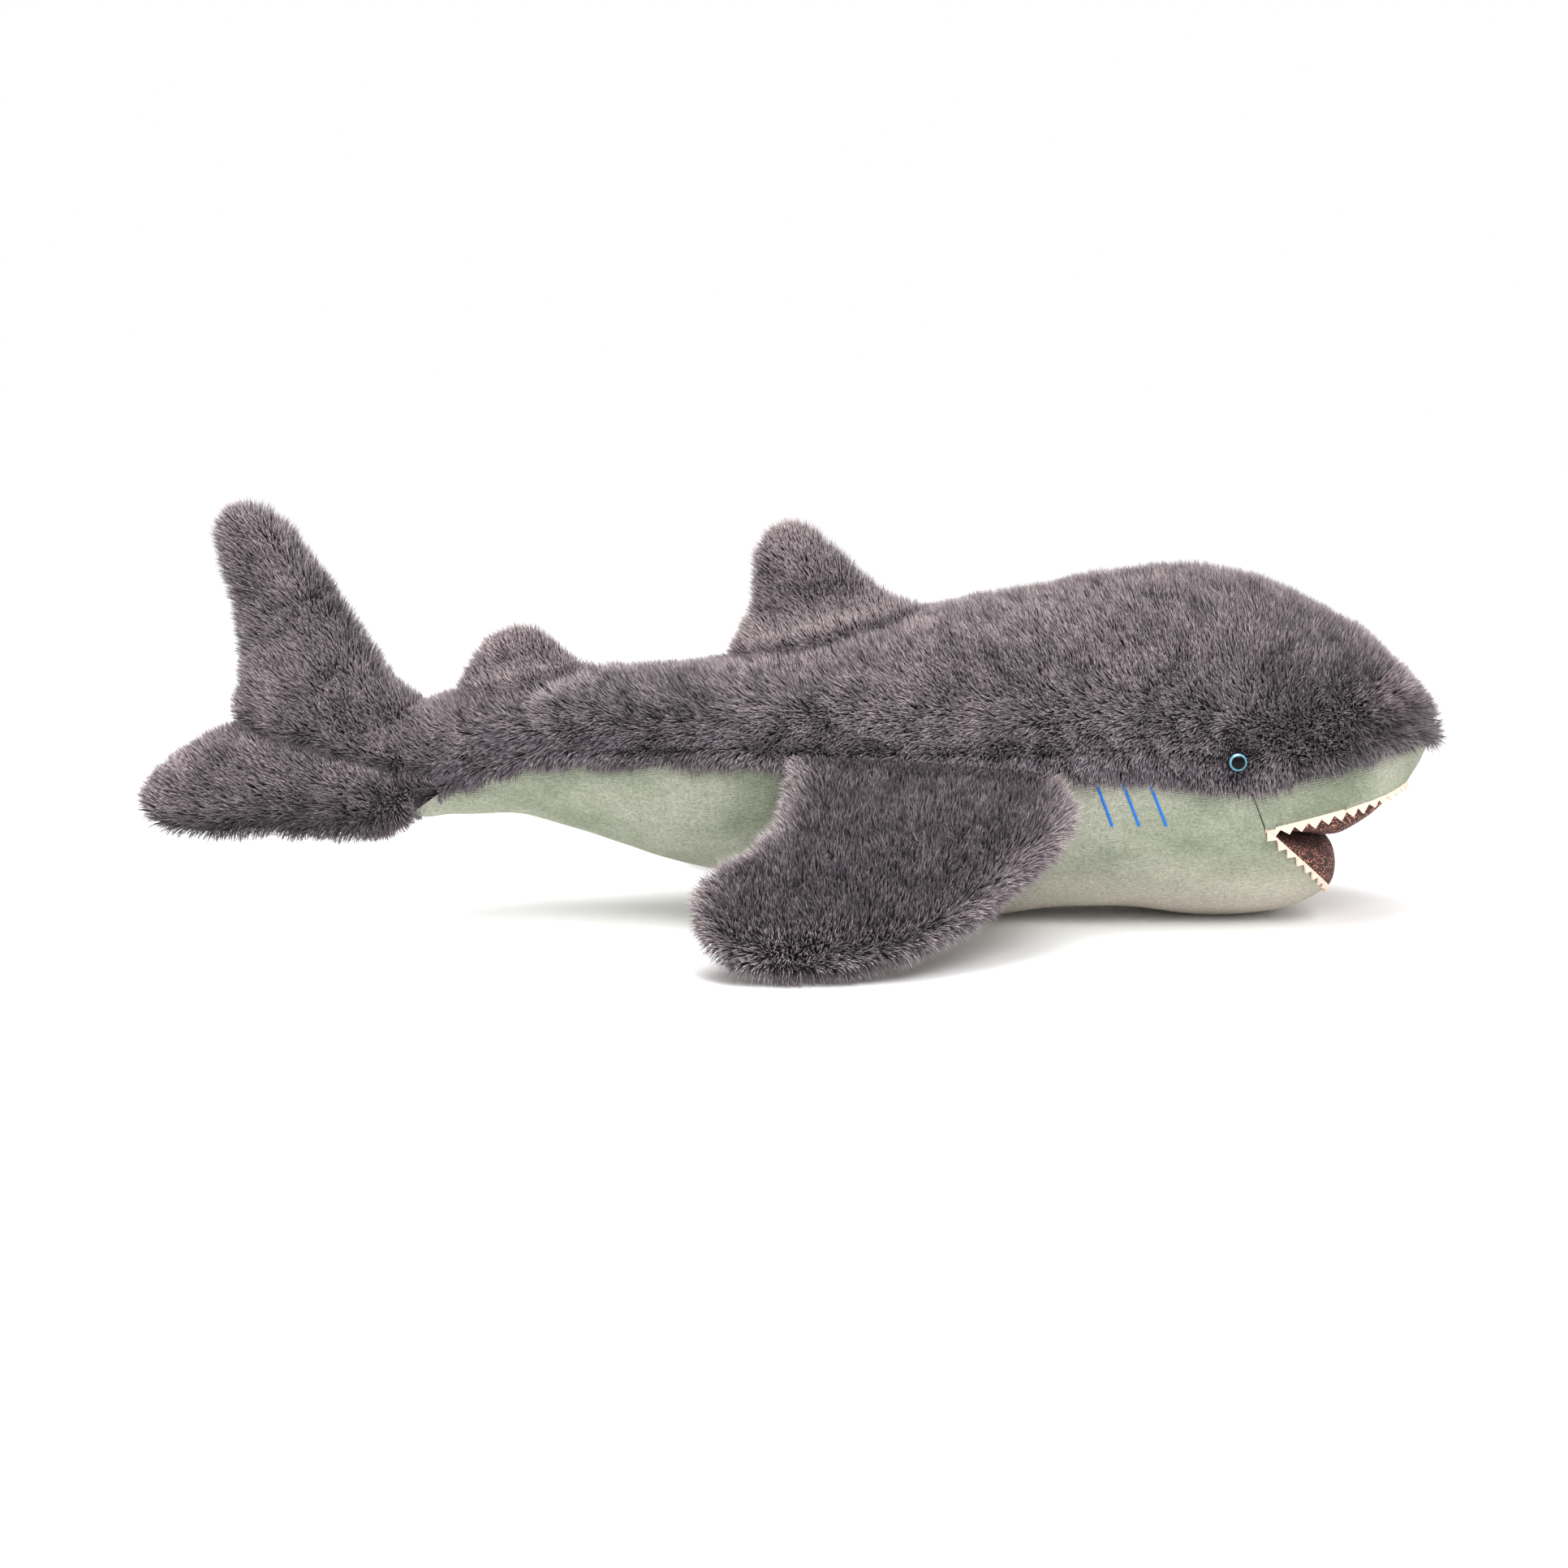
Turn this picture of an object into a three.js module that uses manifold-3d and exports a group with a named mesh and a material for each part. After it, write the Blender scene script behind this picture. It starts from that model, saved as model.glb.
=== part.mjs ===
// A stuffed toy shark, about 700 mm long: long-pile back, velour belly, lined mouth and felt teeth.
// Millimetres. +X points to the nose, +Z up; the origin lies under the middle of the toy, on its resting plane.
import * as THREE from 'three';
import { mergeVertices } from 'three/addons/utils/BufferGeometryUtils.js';
import Module from 'manifold-3d';

const wasm = await Module();
wasm.setup();

// ---------- driving dimensions ----------
const TAIL_END = -234;             // where the torso ends, inside the tail fin
const NOSE = 349;                  // tip of the nose
const TORSO_ROWS = 18;             // slices along the torso
const TORSO_SIDES = 18;            // points round each slice
const FIN_ROWS = 9;               // slices along a fin or a tail lobe
const FIN_SIDES = 14;              // points round each slice of a fin
const PILE_COVER = 6;              // pressed thickness of the long-pile cover
const VELOUR_COVER = 3;            // thickness of the velour cover
const LINING = 2.5;                // thickness of the fin linings and pile on the fins
const GAP = 0.4;                   // clearance between neighbouring pieces
const FILLING_GAP = 1.2;           // clearance between a cover and its filling
const REACH = 260;                 // cutting slabs reach this far, past everything

// [x, value] along the length
const BACK_LINE = [[-234, 115], [-186, 121], [-150, 128], [-114, 135], [-43, 140], [1, 149], [62, 164],
  [114, 173], [186, 186], [221, 187], [257, 181], [296, 161], [318, 146], [335, 129], [343, 118], [349, 107]];
const BELLY_LINE = [[-234, 53], [-206, 55], [-170, 57], [-138, 55], [-116, 48], [-80, 36], [-26, 22], [10, 11],
  [40, -1], [100, -1], [142, 4], [185, 3], [221, 0], [245, -1], [265, -1], [280, 2], [296, 12], [318, 48],
  [335, 76], [343, 88], [349, 96]];
const HALF_WIDTH = [[-234, 18], [-205, 21], [-170, 28], [-130, 37], [-80, 47], [-30, 57], [30, 64], [90, 68],
  [150, 71], [210, 75], [257, 75], [290, 66], [318, 50], [337, 30], [349, 9]];
const WIDEST_AT = 0.47;            // height of the widest point, as a share of the slice

// the edge where long pile meets velour, [x, z]
const PILE_EDGE = [[-206, 56], [-182, 70], [-153, 80], [-125, 87], [-86, 86], [-49, 89], [-4, 86], [145, 81],
  [193, 81], [221, 78], [245, 80], [275, 83], [290, 88], [308, 91], [320, 94], [349, 100]];
const MUZZLE_SEAM = [[220, 110], [245, 60]];   // seam from the pile edge down to the corner of the mouth

// mouth
const MOUTH_CORNER = [245, 60];
const UPPER_LIP = [345, 78];       // the upper lip line runs from the corner through here
const LOWER_LIP = [294, 2];        // the lower lip line runs from the corner through here
const BITE_ANGLE = -18;            // degrees: the line on which the two mouth pads meet
const JAW_CLOSES = 6;              // degrees
const JAW_DROPS = 12;              // degrees
const JAW_BACK = 22;               // degrees behind the vertical: the back of the jaw, below the corner
const TOOTH_PITCH = 6.6;
const TOOTH_DEPTH = 5;
const STRIP_THICKNESS = 1.5;

// bends of the body, about upright axes
const TAIL_BEND = { x: -78, radius: 40, degrees: 20 };
const FIN_BEND = { x: -200, radius: 17, degrees: 30 };

// fins: edges are [distance from the root, position along the root]
const DORSAL = {
  root: [new THREE.Vector3(-31, 0, 141), new THREE.Vector3(61, 0, 163)], length: 63, rootRadius: 7.5,
  trailing: [[0, 0], [18, 11], [33, 17], [48, 25], [58, 34], [63, 42]],
  leading: [[0, 93], [13, 80], [27, 70], [42, 62], [54, 55], [63, 46]],
  thickness: [[0, 7.5], [8, 8], [25, 13], [45, 11], [58, 8], [63, 4]],
};
const SECOND_DORSAL = {
  root: [new THREE.Vector3(-177, 0, 121), new THREE.Vector3(-115, 0, 134)], length: 27, rootRadius: 6,
  trailing: [[0, 1], [9, 6], [18, 14], [24, 24], [27, 31]],
  leading: [[0, 62], [8, 58], [16, 53], [23, 45], [27, 36]],
  thickness: [[0, 6], [6, 6.4], [14, 9], [22, 8], [27, 4]],
};
const PECTORAL = {
  root: [new THREE.Vector3(5, -70, 90), new THREE.Vector3(140, -77, 81)], length: 134, rootRadius: 8,
  trailing: [[0, 0], [37, -10], [53, -19], [68, -33], [79, -46], [87, -51], [102, -52], [118, -45], [129, -30],
    [134, -12]],
  leading: [[0, 134], [18, 140], [29, 139], [44, 130], [58, 118], [74, 102], [91, 86], [108, 64], [121, 40],
    [129, 17], [134, -2]],
  thickness: [[0, 8], [10, 8.5], [35, 12.5], [80, 13], [118, 9.5], [134, 3.5]],
};
const PECTORAL_DROOP = 39.5;       // degrees below level
const UPPER_LOBE = {
  span: [92, 224],
  rear: [[92, -298], [109, -303], [118, -299], [144, -295], [171, -298], [201, -306], [215, -302], [224, -290]],
  front: [[92, -196], [118, -198], [127, -210], [144, -222], [166, -234], [188, -250], [212, -269],
    [224, -284]],
  thickness: [[92, 20], [118, 20], [148, 17], [198, 14], [216, 10], [224, 4]],
};
const LOWER_LOBE = {
  span: [-350, -206],
  bottom: [[-350, 59], [-342, 50], [-320, 44], [-285, 45], [-254, 43], [-228, 43], [-206, 51]],
  top: [[-350, 65], [-342, 77], [-323, 92], [-300, 106], [-281, 112], [-206, 112]],
  thickness: [[-350, 4], [-343, 9], [-325, 13], [-290, 17], [-250, 20], [-206, 21]],
};
const LOBE_CREASE = [[-330, 116], [-305, 109], [-279, 99], [-257, 92], [-232, 85], [-206, 79], [-150, 73]];

// eyes and gills
const EYE = { x: 227, z: 92, radius: 5, bulge: 3.6, post: 1.6, postLength: 15, seat: 4.5 };
const WASHER = { radius: 7, thickness: 1.6 };
const GILLS = [[157, 167], [171, 181], [184, 195]];   // x of the top and bottom of each stitched line
const GILL_TOP = 80.5;
const GILL_BOTTOM = 59;
const GILL_WIDTH = 1.4;

// ---------- materials ----------
const cloth = (color, roughness = 0.95) => new THREE.MeshStandardMaterial({ color, roughness, metalness: 0 });
const PILE = cloth(0x6c646b);
const VELOUR = cloth(0xa3aa9a);
const LUREX = cloth(0x5c4038, 0.6);
const FELT = cloth(0xfae1d2);
const FILLING = cloth(0xf2f0ea);
const THREAD = cloth(0x006ec8, 0.6);
const EYE_PLASTIC = new THREE.MeshStandardMaterial({ color: 0x101216, roughness: 0.08, metalness: 0 });
const WASHER_PLASTIC = new THREE.MeshStandardMaterial({ color: 0xe8e8e4, roughness: 0.5, metalness: 0 });

// ---------- helpers ----------
const degrees = THREE.MathUtils.degToRad;

// The value of a smooth line through [position, value] points.
function lineAt(points, position) {
  const line = new THREE.CubicInterpolant(points.map((p) => p[0]), points.map((p) => p[1]), 1);
  return line.evaluate(THREE.MathUtils.clamp(position, points[0][0], points[points.length - 1][0]))[0];
}

// A closed three.js geometry as a solid that can be joined and cut.
function solid(geometry) {
  geometry.deleteAttribute('normal');
  geometry.deleteAttribute('uv');
  const merged = mergeVertices(geometry, 1e-4);
  return new wasm.Manifold(new wasm.Mesh({
    numProp: 3,
    vertProperties: new Float32Array(merged.attributes.position.array),
    triVerts: new Uint32Array(merged.index.array),
  }));
}

// A unit cylinder whose points are moved by place(along 0..1, angle, distance from the axis 0..1).
function loft(sides, rows, place) {
  const geometry = new THREE.CylinderGeometry(1, 1, 1, sides, rows);
  const position = geometry.attributes.position;
  for (let i = 0; i < position.count; i += 1) {
    const angle = Math.atan2(position.getZ(i), position.getX(i));
    const point = place(position.getY(i) + 0.5, angle, Math.hypot(position.getX(i), position.getZ(i)));
    position.setXYZ(i, point.x, point.y, point.z);
  }
  const made = solid(geometry);
  if (made.volume() > 0) return made;
  geometry.index.array.reverse();
  return solid(geometry);
}

const rounded = (value, power) => Math.sign(value) * Math.abs(value) ** power;

// The torso, drawn in by insetTop above its widest line and by insetBottom below it.
function torso(insetTop = 0, insetBottom = insetTop) {
  const ends = [TAIL_END + Math.max(insetTop, 0), NOSE - insetTop];
  const body = loft(TORSO_SIDES, TORSO_ROWS, (along, angle, r) => {
    const x = THREE.MathUtils.lerp(ends[0], ends[1], Math.sin(along * Math.PI / 2));
    const top = lineAt(BACK_LINE, x);
    const bottom = lineAt(BELLY_LINE, x);
    const middle = THREE.MathUtils.lerp(bottom, top, WIDEST_AT);
    const inset = Math.sin(angle) > 0.01 ? insetTop : insetBottom;
    const halfWidth = Math.max(lineAt(HALF_WIDTH, x) - inset, 1.5);
    const rise = Math.max(top - middle - insetTop, 1);
    const drop = Math.max(middle - bottom - insetBottom, 1);
    const up = Math.sin(angle);
    return new THREE.Vector3(
      x,
      r * halfWidth * rounded(Math.cos(angle), 0.84),
      middle + r * (up > 0 ? rise * up ** 0.92 : -drop * Math.abs(up) ** 0.78),
    );
  });
  return insetTop < 0 ? body : body.intersect(above(Math.max(insetBottom, 0)));
}

// Everything higher than z.
function above(z) {
  return sideSlab([[-2 * REACH, z], [2 * REACH, z], [2 * REACH, REACH], [-2 * REACH, REACH]]);
}

// A slab seen from the side: its outline's [x, z] points carried across the width from y0 to y1.
function sideSlab(points, y0 = -REACH, y1 = REACH) {
  const shape = new THREE.Shape(points.map(([x, z]) => new THREE.Vector2(x, z)));
  const geometry = new THREE.ExtrudeGeometry(shape, { depth: y1 - y0, bevelEnabled: false });
  return solid(geometry.rotateX(Math.PI / 2).translate(0, y1, 0));
}

// A slab seen from above: its outline's [x, y] points carried up through the whole height.
function planSlab(points) {
  const shape = new THREE.Shape(points.map(([x, y]) => new THREE.Vector2(x, y)));
  const geometry = new THREE.ExtrudeGeometry(shape, { depth: 2 * REACH, bevelEnabled: false });
  return solid(geometry.translate(0, 0, -REACH));
}

// A round bar between two points, longer by extra at both ends.
function bar(from, to, radius, extra = 0, sides = 20) {
  const run = to.clone().sub(from);
  const geometry = new THREE.CylinderGeometry(radius, radius, run.length() + 2 * extra, sides);
  const turn = new THREE.Quaternion().setFromUnitVectors(new THREE.Vector3(0, 1, 0), run.normalize());
  const middle = from.clone().add(to).multiplyScalar(0.5);
  return solid(geometry.applyQuaternion(turn).translate(middle.x, middle.y, middle.z));
}

const upright = (bend, radius) => bar(
  new THREE.Vector3(bend.x, 0, -REACH), new THREE.Vector3(bend.x, 0, REACH), radius, 0, 40,
);

// What turns with a bend: all behind it, and a round knuckle in front.
function behind(bend) {
  const rear = planSlab([[-2 * REACH, -REACH], [bend.x, -REACH], [bend.x, REACH], [-2 * REACH, REACH]]);
  return rear.add(upright(bend, bend.radius));
}

// What stays in front of a bend: a socket for the knuckle, and sides cut back to leave room for the turn.
function ahead(bend) {
  const slope = REACH * Math.tan(degrees(bend.degrees + 1.5));
  const front = planSlab([[bend.x + GAP, 0], [bend.x + slope, -REACH], [3 * REACH, -REACH], [3 * REACH, REACH],
    [bend.x + slope, REACH]]);
  return front.subtract(upright(bend, bend.radius + 2 * GAP));
}

// A stuffed fin in its own frame: chord along the root, span away from it, thickness across.
function fin(size, inset, intoRoot, place) {
  const root = -size.rootRadius * 0.9 - intoRoot;
  return loft(FIN_SIDES, FIN_ROWS, (along, angle, r) => {
    const span = THREE.MathUtils.lerp(root + inset * (intoRoot ? 0 : 1), size.length - inset,
      (1 - Math.cos(along * Math.PI)) / 2);
    const trailing = lineAt(size.trailing, span);
    const leading = lineAt(size.leading, span);
    const intoRound = Math.min(Math.max(-span / size.rootRadius, 0), 0.9);
    const half = intoRoot && span < 0
      ? size.rootRadius
      : lineAt(size.thickness, span) * Math.sqrt(1 - intoRound ** 2);
    const chord = Math.max((leading - trailing) / 2 - 1.8 * inset, 1.5);
    const thickness = Math.max(half - inset, 0.8);
    return place(
      (leading + trailing) / 2 + r * chord * rounded(Math.cos(angle), 0.9),
      span,
      r * thickness * rounded(Math.sin(angle), 0.9),
    );
  });
}

// Puts a fin's own frame at its root line, with its span along a direction square to that line.
function rootFrame([from, to], towards) {
  const chord = to.clone().sub(from).normalize();
  const across = chord.clone().cross(towards).normalize();
  const span = across.clone().cross(chord).normalize();
  return (c, s, t) => from.clone().addScaledVector(chord, c).addScaledVector(span, s)
    .addScaledVector(across, t);
}

function mirrored(piece) {
  return piece.mirror([0, 1, 0]);
}

const group = new THREE.Group();

// Adds a piece to the toy as a named mesh, without any slivers that its cuts left.
function add(name, piece, material) {
  const mesh = piece.decompose().reduce((a, b) => (b.volume() > a.volume() ? b : a)).getMesh();
  const geometry = new THREE.BufferGeometry();
  geometry.setAttribute('position', new THREE.BufferAttribute(new Float32Array(mesh.vertProperties), 3));
  geometry.setIndex(new THREE.BufferAttribute(new Uint32Array(mesh.triVerts), 1));
  geometry.computeVertexNormals();
  const part = new THREE.Mesh(geometry, material.clone());
  part.name = name;
  group.add(part);
}

// ---------- cutting regions ----------
const edgeBand = (points, side) => {
  const far = side > 0 ? REACH : -REACH;
  const shift = side * GAP / 2;
  return sideSlab([...points.map(([x, z]) => [x, z + shift]), [3 * REACH, points[points.length - 1][1] + shift],
    [3 * REACH, far], [-2 * REACH, far], [-2 * REACH, points[0][1] + shift]]);
};
const overPileEdge = edgeBand(PILE_EDGE, 1);
const underPileEdge = edgeBand(PILE_EDGE, -1);
const overCrease = edgeBand(LOBE_CREASE, 1);
const underCrease = edgeBand(LOBE_CREASE, -1);

// A point at a distance from the corner of the mouth, on a line at an angle above level.
function fromCorner(distance, angle) {
  return [MOUTH_CORNER[0] + distance * Math.cos(degrees(angle)),
    MOUTH_CORNER[1] + distance * Math.sin(degrees(angle))];
}
const angleTo = ([x, z]) => THREE.MathUtils.radToDeg(Math.atan2(z - MOUTH_CORNER[1], x - MOUTH_CORNER[0]));
const UPPER_ANGLE = angleTo(UPPER_LIP);
const LOWER_ANGLE = angleTo(LOWER_LIP);
const JAW_BACK_ANGLE = -90 - JAW_BACK;
const BODY_FRONT_ANGLE = JAW_BACK_ANGLE - JAW_DROPS - 1.5;

// A wedge between two angles with its point at the corner of the mouth, moved forward by a little.
function wedge(high, low, forward = 0) {
  const reach = 2 * REACH;
  const middle = (high + low) / 2;
  const outline = [[MOUTH_CORNER[0], MOUTH_CORNER[1]], fromCorner(reach, low), fromCorner(reach * 1.6, middle),
    fromCorner(reach, high)];
  return sideSlab(outline.map(([x, z]) => [x + forward, z]));
}
const mouthAndJaw = wedge(UPPER_ANGLE, BODY_FRONT_ANGLE);
const jawRegion = wedge(LOWER_ANGLE, JAW_BACK_ANGLE, 1);

const torsoFront = ahead(TAIL_BEND).subtract(mouthAndJaw);
const tailRegion = behind(TAIL_BEND).intersect(ahead(FIN_BEND));
const tailFinRegion = behind(FIN_BEND);

// ---------- fins ----------
const UP = new THREE.Vector3(0, 0, 1);
const rootGroove = (size) => bar(size.root[0], size.root[1], size.rootRadius + 1.5, 2);
const droop = new THREE.Vector3(0, -Math.cos(degrees(PECTORAL_DROOP)), -Math.sin(degrees(PECTORAL_DROOP)));
const pectoralFrame = rootFrame(PECTORAL.root, droop);
const pectoralGroove = rootGroove(PECTORAL);
const grooves = rootGroove(DORSAL).add(pectoralGroove).add(mirrored(pectoralGroove));

function standingFin(name, size) {
  const frame = rootFrame(size.root, UP);
  const outside = fin(size, 0, 0, frame);
  add(`${name}_cover`, outside.subtract(fin(size, LINING + 1, 8, frame)), PILE);
  add(`${name}_stuffing`, fin(size, LINING + 2 + FILLING_GAP, 0, frame), FILLING);
}
standingFin('dorsal_fin', DORSAL);
standingFin('second_dorsal_fin', SECOND_DORSAL);

// Half of space on one side of the pectoral fin's middle surface.
function pectoralHalf(side) {
  const box = new THREE.BoxGeometry(3 * REACH, 3 * REACH, REACH);
  box.translate(0, 0, side * (REACH / 2 + GAP / 2));
  const position = box.attributes.position;
  for (let i = 0; i < position.count; i += 1) {
    const point = pectoralFrame(position.getX(i), position.getY(i), position.getZ(i));
    position.setXYZ(i, point.x, point.y, point.z);
  }
  return solid(box);
}
const pectoralShell = fin(PECTORAL, 0, 0, pectoralFrame).subtract(fin(PECTORAL, LINING + 1, 0, pectoralFrame));
const topSide = pectoralFrame(0, 0, 1).z > pectoralFrame(0, 0, 0).z ? 1 : -1;
const pectoralPieces = [
  ['fur_panel', pectoralShell.intersect(pectoralHalf(topSide)), PILE],
  ['lining_panel', pectoralShell.intersect(pectoralHalf(-topSide)), LUREX],
  ['stuffing', fin(PECTORAL, LINING + 1 + FILLING_GAP, 0, pectoralFrame), FILLING],
];
for (const [name, piece, material] of pectoralPieces) {
  add(`pectoral_right_${name}`, piece, material);
  add(`pectoral_left_${name}`, mirrored(piece), material);
}

// ---------- tail fin ----------
// A lobe built of upright or level slices: from one edge line to the other, with a thickness.
function lobe(span, low, high, thickness, inset, place) {
  return loft(FIN_SIDES, FIN_ROWS, (along, angle, r) => {
    const s = THREE.MathUtils.lerp(span[0] + inset, span[1] - inset, (1 - Math.cos(along * Math.PI)) / 2);
    const reach = Math.max((lineAt(high, s) - lineAt(low, s)) / 2 - 1.8 * inset, 1.5);
    const half = Math.max(lineAt(thickness, s) - inset, 0.8);
    return place(s, (lineAt(high, s) + lineAt(low, s)) / 2 + r * reach * rounded(Math.cos(angle), 0.9),
      r * half * rounded(Math.sin(angle), 0.9));
  });
}

function tailFin(inset) {
  const upper = lobe(UPPER_LOBE.span, UPPER_LOBE.rear, UPPER_LOBE.front, UPPER_LOBE.thickness, inset,
    (z, x, y) => new THREE.Vector3(x, y, z));
  const lower = lobe(LOWER_LOBE.span, LOWER_LOBE.bottom, LOWER_LOBE.top, LOWER_LOBE.thickness, inset,
    (x, z, y) => new THREE.Vector3(x, y, z));
  return upper.add(lower).add(torso(inset));
}
const tailFinShell = tailFin(0).subtract(tailFin(LINING + 1)).intersect(tailFinRegion);
add('tail_fin_upper_lobe_cover', tailFinShell.intersect(overCrease), PILE);
add('tail_fin_lower_lobe_cover', tailFinShell.intersect(underCrease), PILE);
add('tail_fin_stuffing', tailFin(LINING + 1 + FILLING_GAP).intersect(tailFinRegion), FILLING);

// ---------- torso ----------
const outside = torso();
const shell = outside.subtract(torso(PILE_COVER, VELOUR_COVER));
const pileShell = shell.intersect(overPileEdge);
const velourShell = shell.intersect(underPileEdge);
const filling = torso(PILE_COVER + FILLING_GAP, VELOUR_COVER + FILLING_GAP);

const tailGroove = rootGroove(SECOND_DORSAL);
add('tail_fur_cover', pileShell.intersect(tailRegion).subtract(tailGroove), PILE);
add('tail_belly_cover', velourShell.intersect(tailRegion), VELOUR);
add('tail_stuffing', filling.intersect(tailRegion).subtract(tailGroove), FILLING);

// eyes: a dome on a post that goes through the pile cover to a washer inside
const surfaceAt = (x, z) => {
  const top = lineAt(BACK_LINE, x);
  const bottom = lineAt(BELLY_LINE, x);
  const middle = THREE.MathUtils.lerp(bottom, top, WIDEST_AT);
  const up = (z - middle) / (z > middle ? top - middle : middle - bottom);
  return lineAt(HALF_WIDTH, x) * Math.sqrt(1 - up ** 2) ** 0.84;
};
const eyeY = -surfaceAt(EYE.x, EYE.z) + EYE.seat;
const onEyeAxis = (y) => new THREE.Vector3(EYE.x, y, EYE.z);
const dome = new THREE.LatheGeometry([
  new THREE.Vector2(0, -1.2), new THREE.Vector2(EYE.radius - 0.8, -1.2), new THREE.Vector2(EYE.radius, 0),
  ...[0.25, 0.5, 0.75].map((share) => new THREE.Vector2(
    EYE.radius * Math.cos(share * Math.PI / 2), EYE.bulge * Math.sin(share * Math.PI / 2),
  )), new THREE.Vector2(0, EYE.bulge)], 16);
const eyeDome = solid(dome.rotateX(Math.PI).translate(EYE.x, 0, EYE.z)).translate([0, eyeY, 0]);
const eye = eyeDome.add(bar(onEyeAxis(eyeY), onEyeAxis(eyeY + EYE.postLength), EYE.post, 0, 12));
const eyeSeat = bar(onEyeAxis(eyeY + 1.2 + GAP), onEyeAxis(eyeY - 20), EYE.radius + 1, 0, 16)
  .add(bar(onEyeAxis(eyeY), onEyeAxis(eyeY + EYE.postLength + 1), EYE.post + GAP, 0, 12));
const washerY = eyeY + EYE.postLength - 3 - WASHER.thickness;
const washer = bar(onEyeAxis(washerY), onEyeAxis(washerY + WASHER.thickness), WASHER.radius, 0, 16)
  .subtract(bar(onEyeAxis(washerY - 2), onEyeAxis(washerY + 4), EYE.post + GAP / 2, 0, 12));
const washerSeat = bar(
  onEyeAxis(washerY - GAP), onEyeAxis(washerY + WASHER.thickness + GAP), WASHER.radius + GAP, 0, 16,
);
const eyeRoom = eyeSeat.add(washerSeat);
add('eye_right', eye, EYE_PLASTIC);
add('eye_left', mirrored(eye), EYE_PLASTIC);
add('eye_washer_right', washer, WASHER_PLASTIC);
add('eye_washer_left', mirrored(washer), WASHER_PLASTIC);

const frontRoom = grooves.add(eyeRoom).add(mirrored(eyeRoom));
add('back_fur_cover', pileShell.intersect(torsoFront).subtract(frontRoom), PILE);
const frontVelour = velourShell.intersect(torsoFront).subtract(frontRoom);
const [seamTop, seamFoot] = MUZZLE_SEAM;
const lipFloor = seamFoot[1] - 60;
const lipBand = sideSlab([seamTop, seamFoot, [3 * REACH, lipFloor], [3 * REACH, seamTop[1]]]);
const lipRoom = sideSlab([[seamTop[0] - GAP, seamTop[1]], [seamFoot[0] - GAP, seamFoot[1] - GAP],
  [seamFoot[0], lipFloor], [3 * REACH, lipFloor], [3 * REACH, seamTop[1]]]);
add('belly_cover', frontVelour.subtract(lipRoom), VELOUR);
add('muzzle_cover', frontVelour.intersect(lipBand), VELOUR);
add('body_stuffing', filling.intersect(torsoFront).subtract(frontRoom)
  .subtract(wedge(UPPER_ANGLE + 1.2, UPPER_ANGLE - 5)), FILLING);

// gill lines: raised stitching that follows the velour
const stitched = torso(-1.3).subtract(torso(-GAP));
GILLS.forEach(([top, bottom], i) => {
  const outline = [[top, GILL_TOP], [top + GILL_WIDTH, GILL_TOP], [bottom + GILL_WIDTH, GILL_BOTTOM],
    [bottom, GILL_BOTTOM]];
  const line = stitched.intersect(sideSlab(outline, -REACH, 0));
  add(`gill_stitch_right_${i + 1}`, line, THREAD);
  add(`gill_stitch_left_${i + 1}`, mirrored(line), THREAD);
});

// ---------- jaw ----------
add('jaw_cover', outside.subtract(torso(VELOUR_COVER)).intersect(jawRegion), VELOUR);
add('jaw_stuffing', torso(VELOUR_COVER + FILLING_GAP).intersect(wedge(LOWER_ANGLE - 3, JAW_BACK_ANGLE, 1)),
  FILLING);

// ---------- mouth linings and teeth ----------
const insideTeeth = torso(VELOUR_COVER + STRIP_THICKNESS + 2 * GAP);
function mouthPad(points) {
  const curve = new THREE.SplineCurve(points.map(([x, z]) => new THREE.Vector2(x, z)));
  return insideTeeth.intersect(sideSlab(curve.getPoints(14).map((p) => [p.x, p.y])));
}
const halfGap = JAW_CLOSES / 2 + 1.2;
const palateFloor = BITE_ANGLE + halfGap;
const padTop = BITE_ANGLE - halfGap;
const palatePad = mouthPad([fromCorner(8, palateFloor + 6), fromCorner(26, palateFloor),
  fromCorner(45, palateFloor), fromCorner(60, -10), fromCorner(73, 0.5), fromCorner(86, UPPER_ANGLE - 1.2)]);
const jawPad = mouthPad([fromCorner(8, padTop - 6), fromCorner(26, padTop), fromCorner(44, padTop),
  fromCorner(55, -29), fromCorner(62, -42), fromCorner(65, LOWER_ANGLE + 0.8)]);
add('palate_lining', palatePad.intersect(wedge(UPPER_ANGLE - 0.5, palateFloor - 8)), LUREX);
add('jaw_lining', jawPad.intersect(wedge(padTop + 8, LOWER_ANGLE + 0.6, 1)), LUREX);

// A felt strip round a lip: sewn edge along the lip line, then a row of points.
function teethStrip(angle, side, from, to) {
  const at = (distance, depth) => {
    const [x, z] = fromCorner(distance, angle);
    return [x - side * depth * Math.sin(degrees(angle)), z + side * depth * Math.cos(degrees(angle))];
  };
  const outline = [];
  for (let d = from; d + TOOTH_PITCH <= to; d += TOOTH_PITCH) {
    outline.push(at(d, 1), at(d + TOOTH_PITCH / 2, TOOTH_DEPTH));
  }
  const end = from + Math.floor((to - from) / TOOTH_PITCH) * TOOTH_PITCH;
  const strip = sideSlab([at(from, 0.4), ...outline, at(end, 1), at(end, 0.4)]);
  return torso(VELOUR_COVER + GAP).subtract(torso(VELOUR_COVER + GAP + STRIP_THICKNESS)).intersect(strip);
}
add('upper_teeth_strip', teethStrip(UPPER_ANGLE, -1, 11, 110), FELT);
add('lower_teeth_strip', teethStrip(LOWER_ANGLE, 1, 11, 80), FELT);

export default group;
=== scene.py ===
"""A stuffed toy shark: long-pile back and fins, velour belly, knitted mouth and felt teeth.

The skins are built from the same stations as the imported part, the pile grows on them as real
tapered strands, and every piece rides on a body of the part or bends between two of them.
"""

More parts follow.
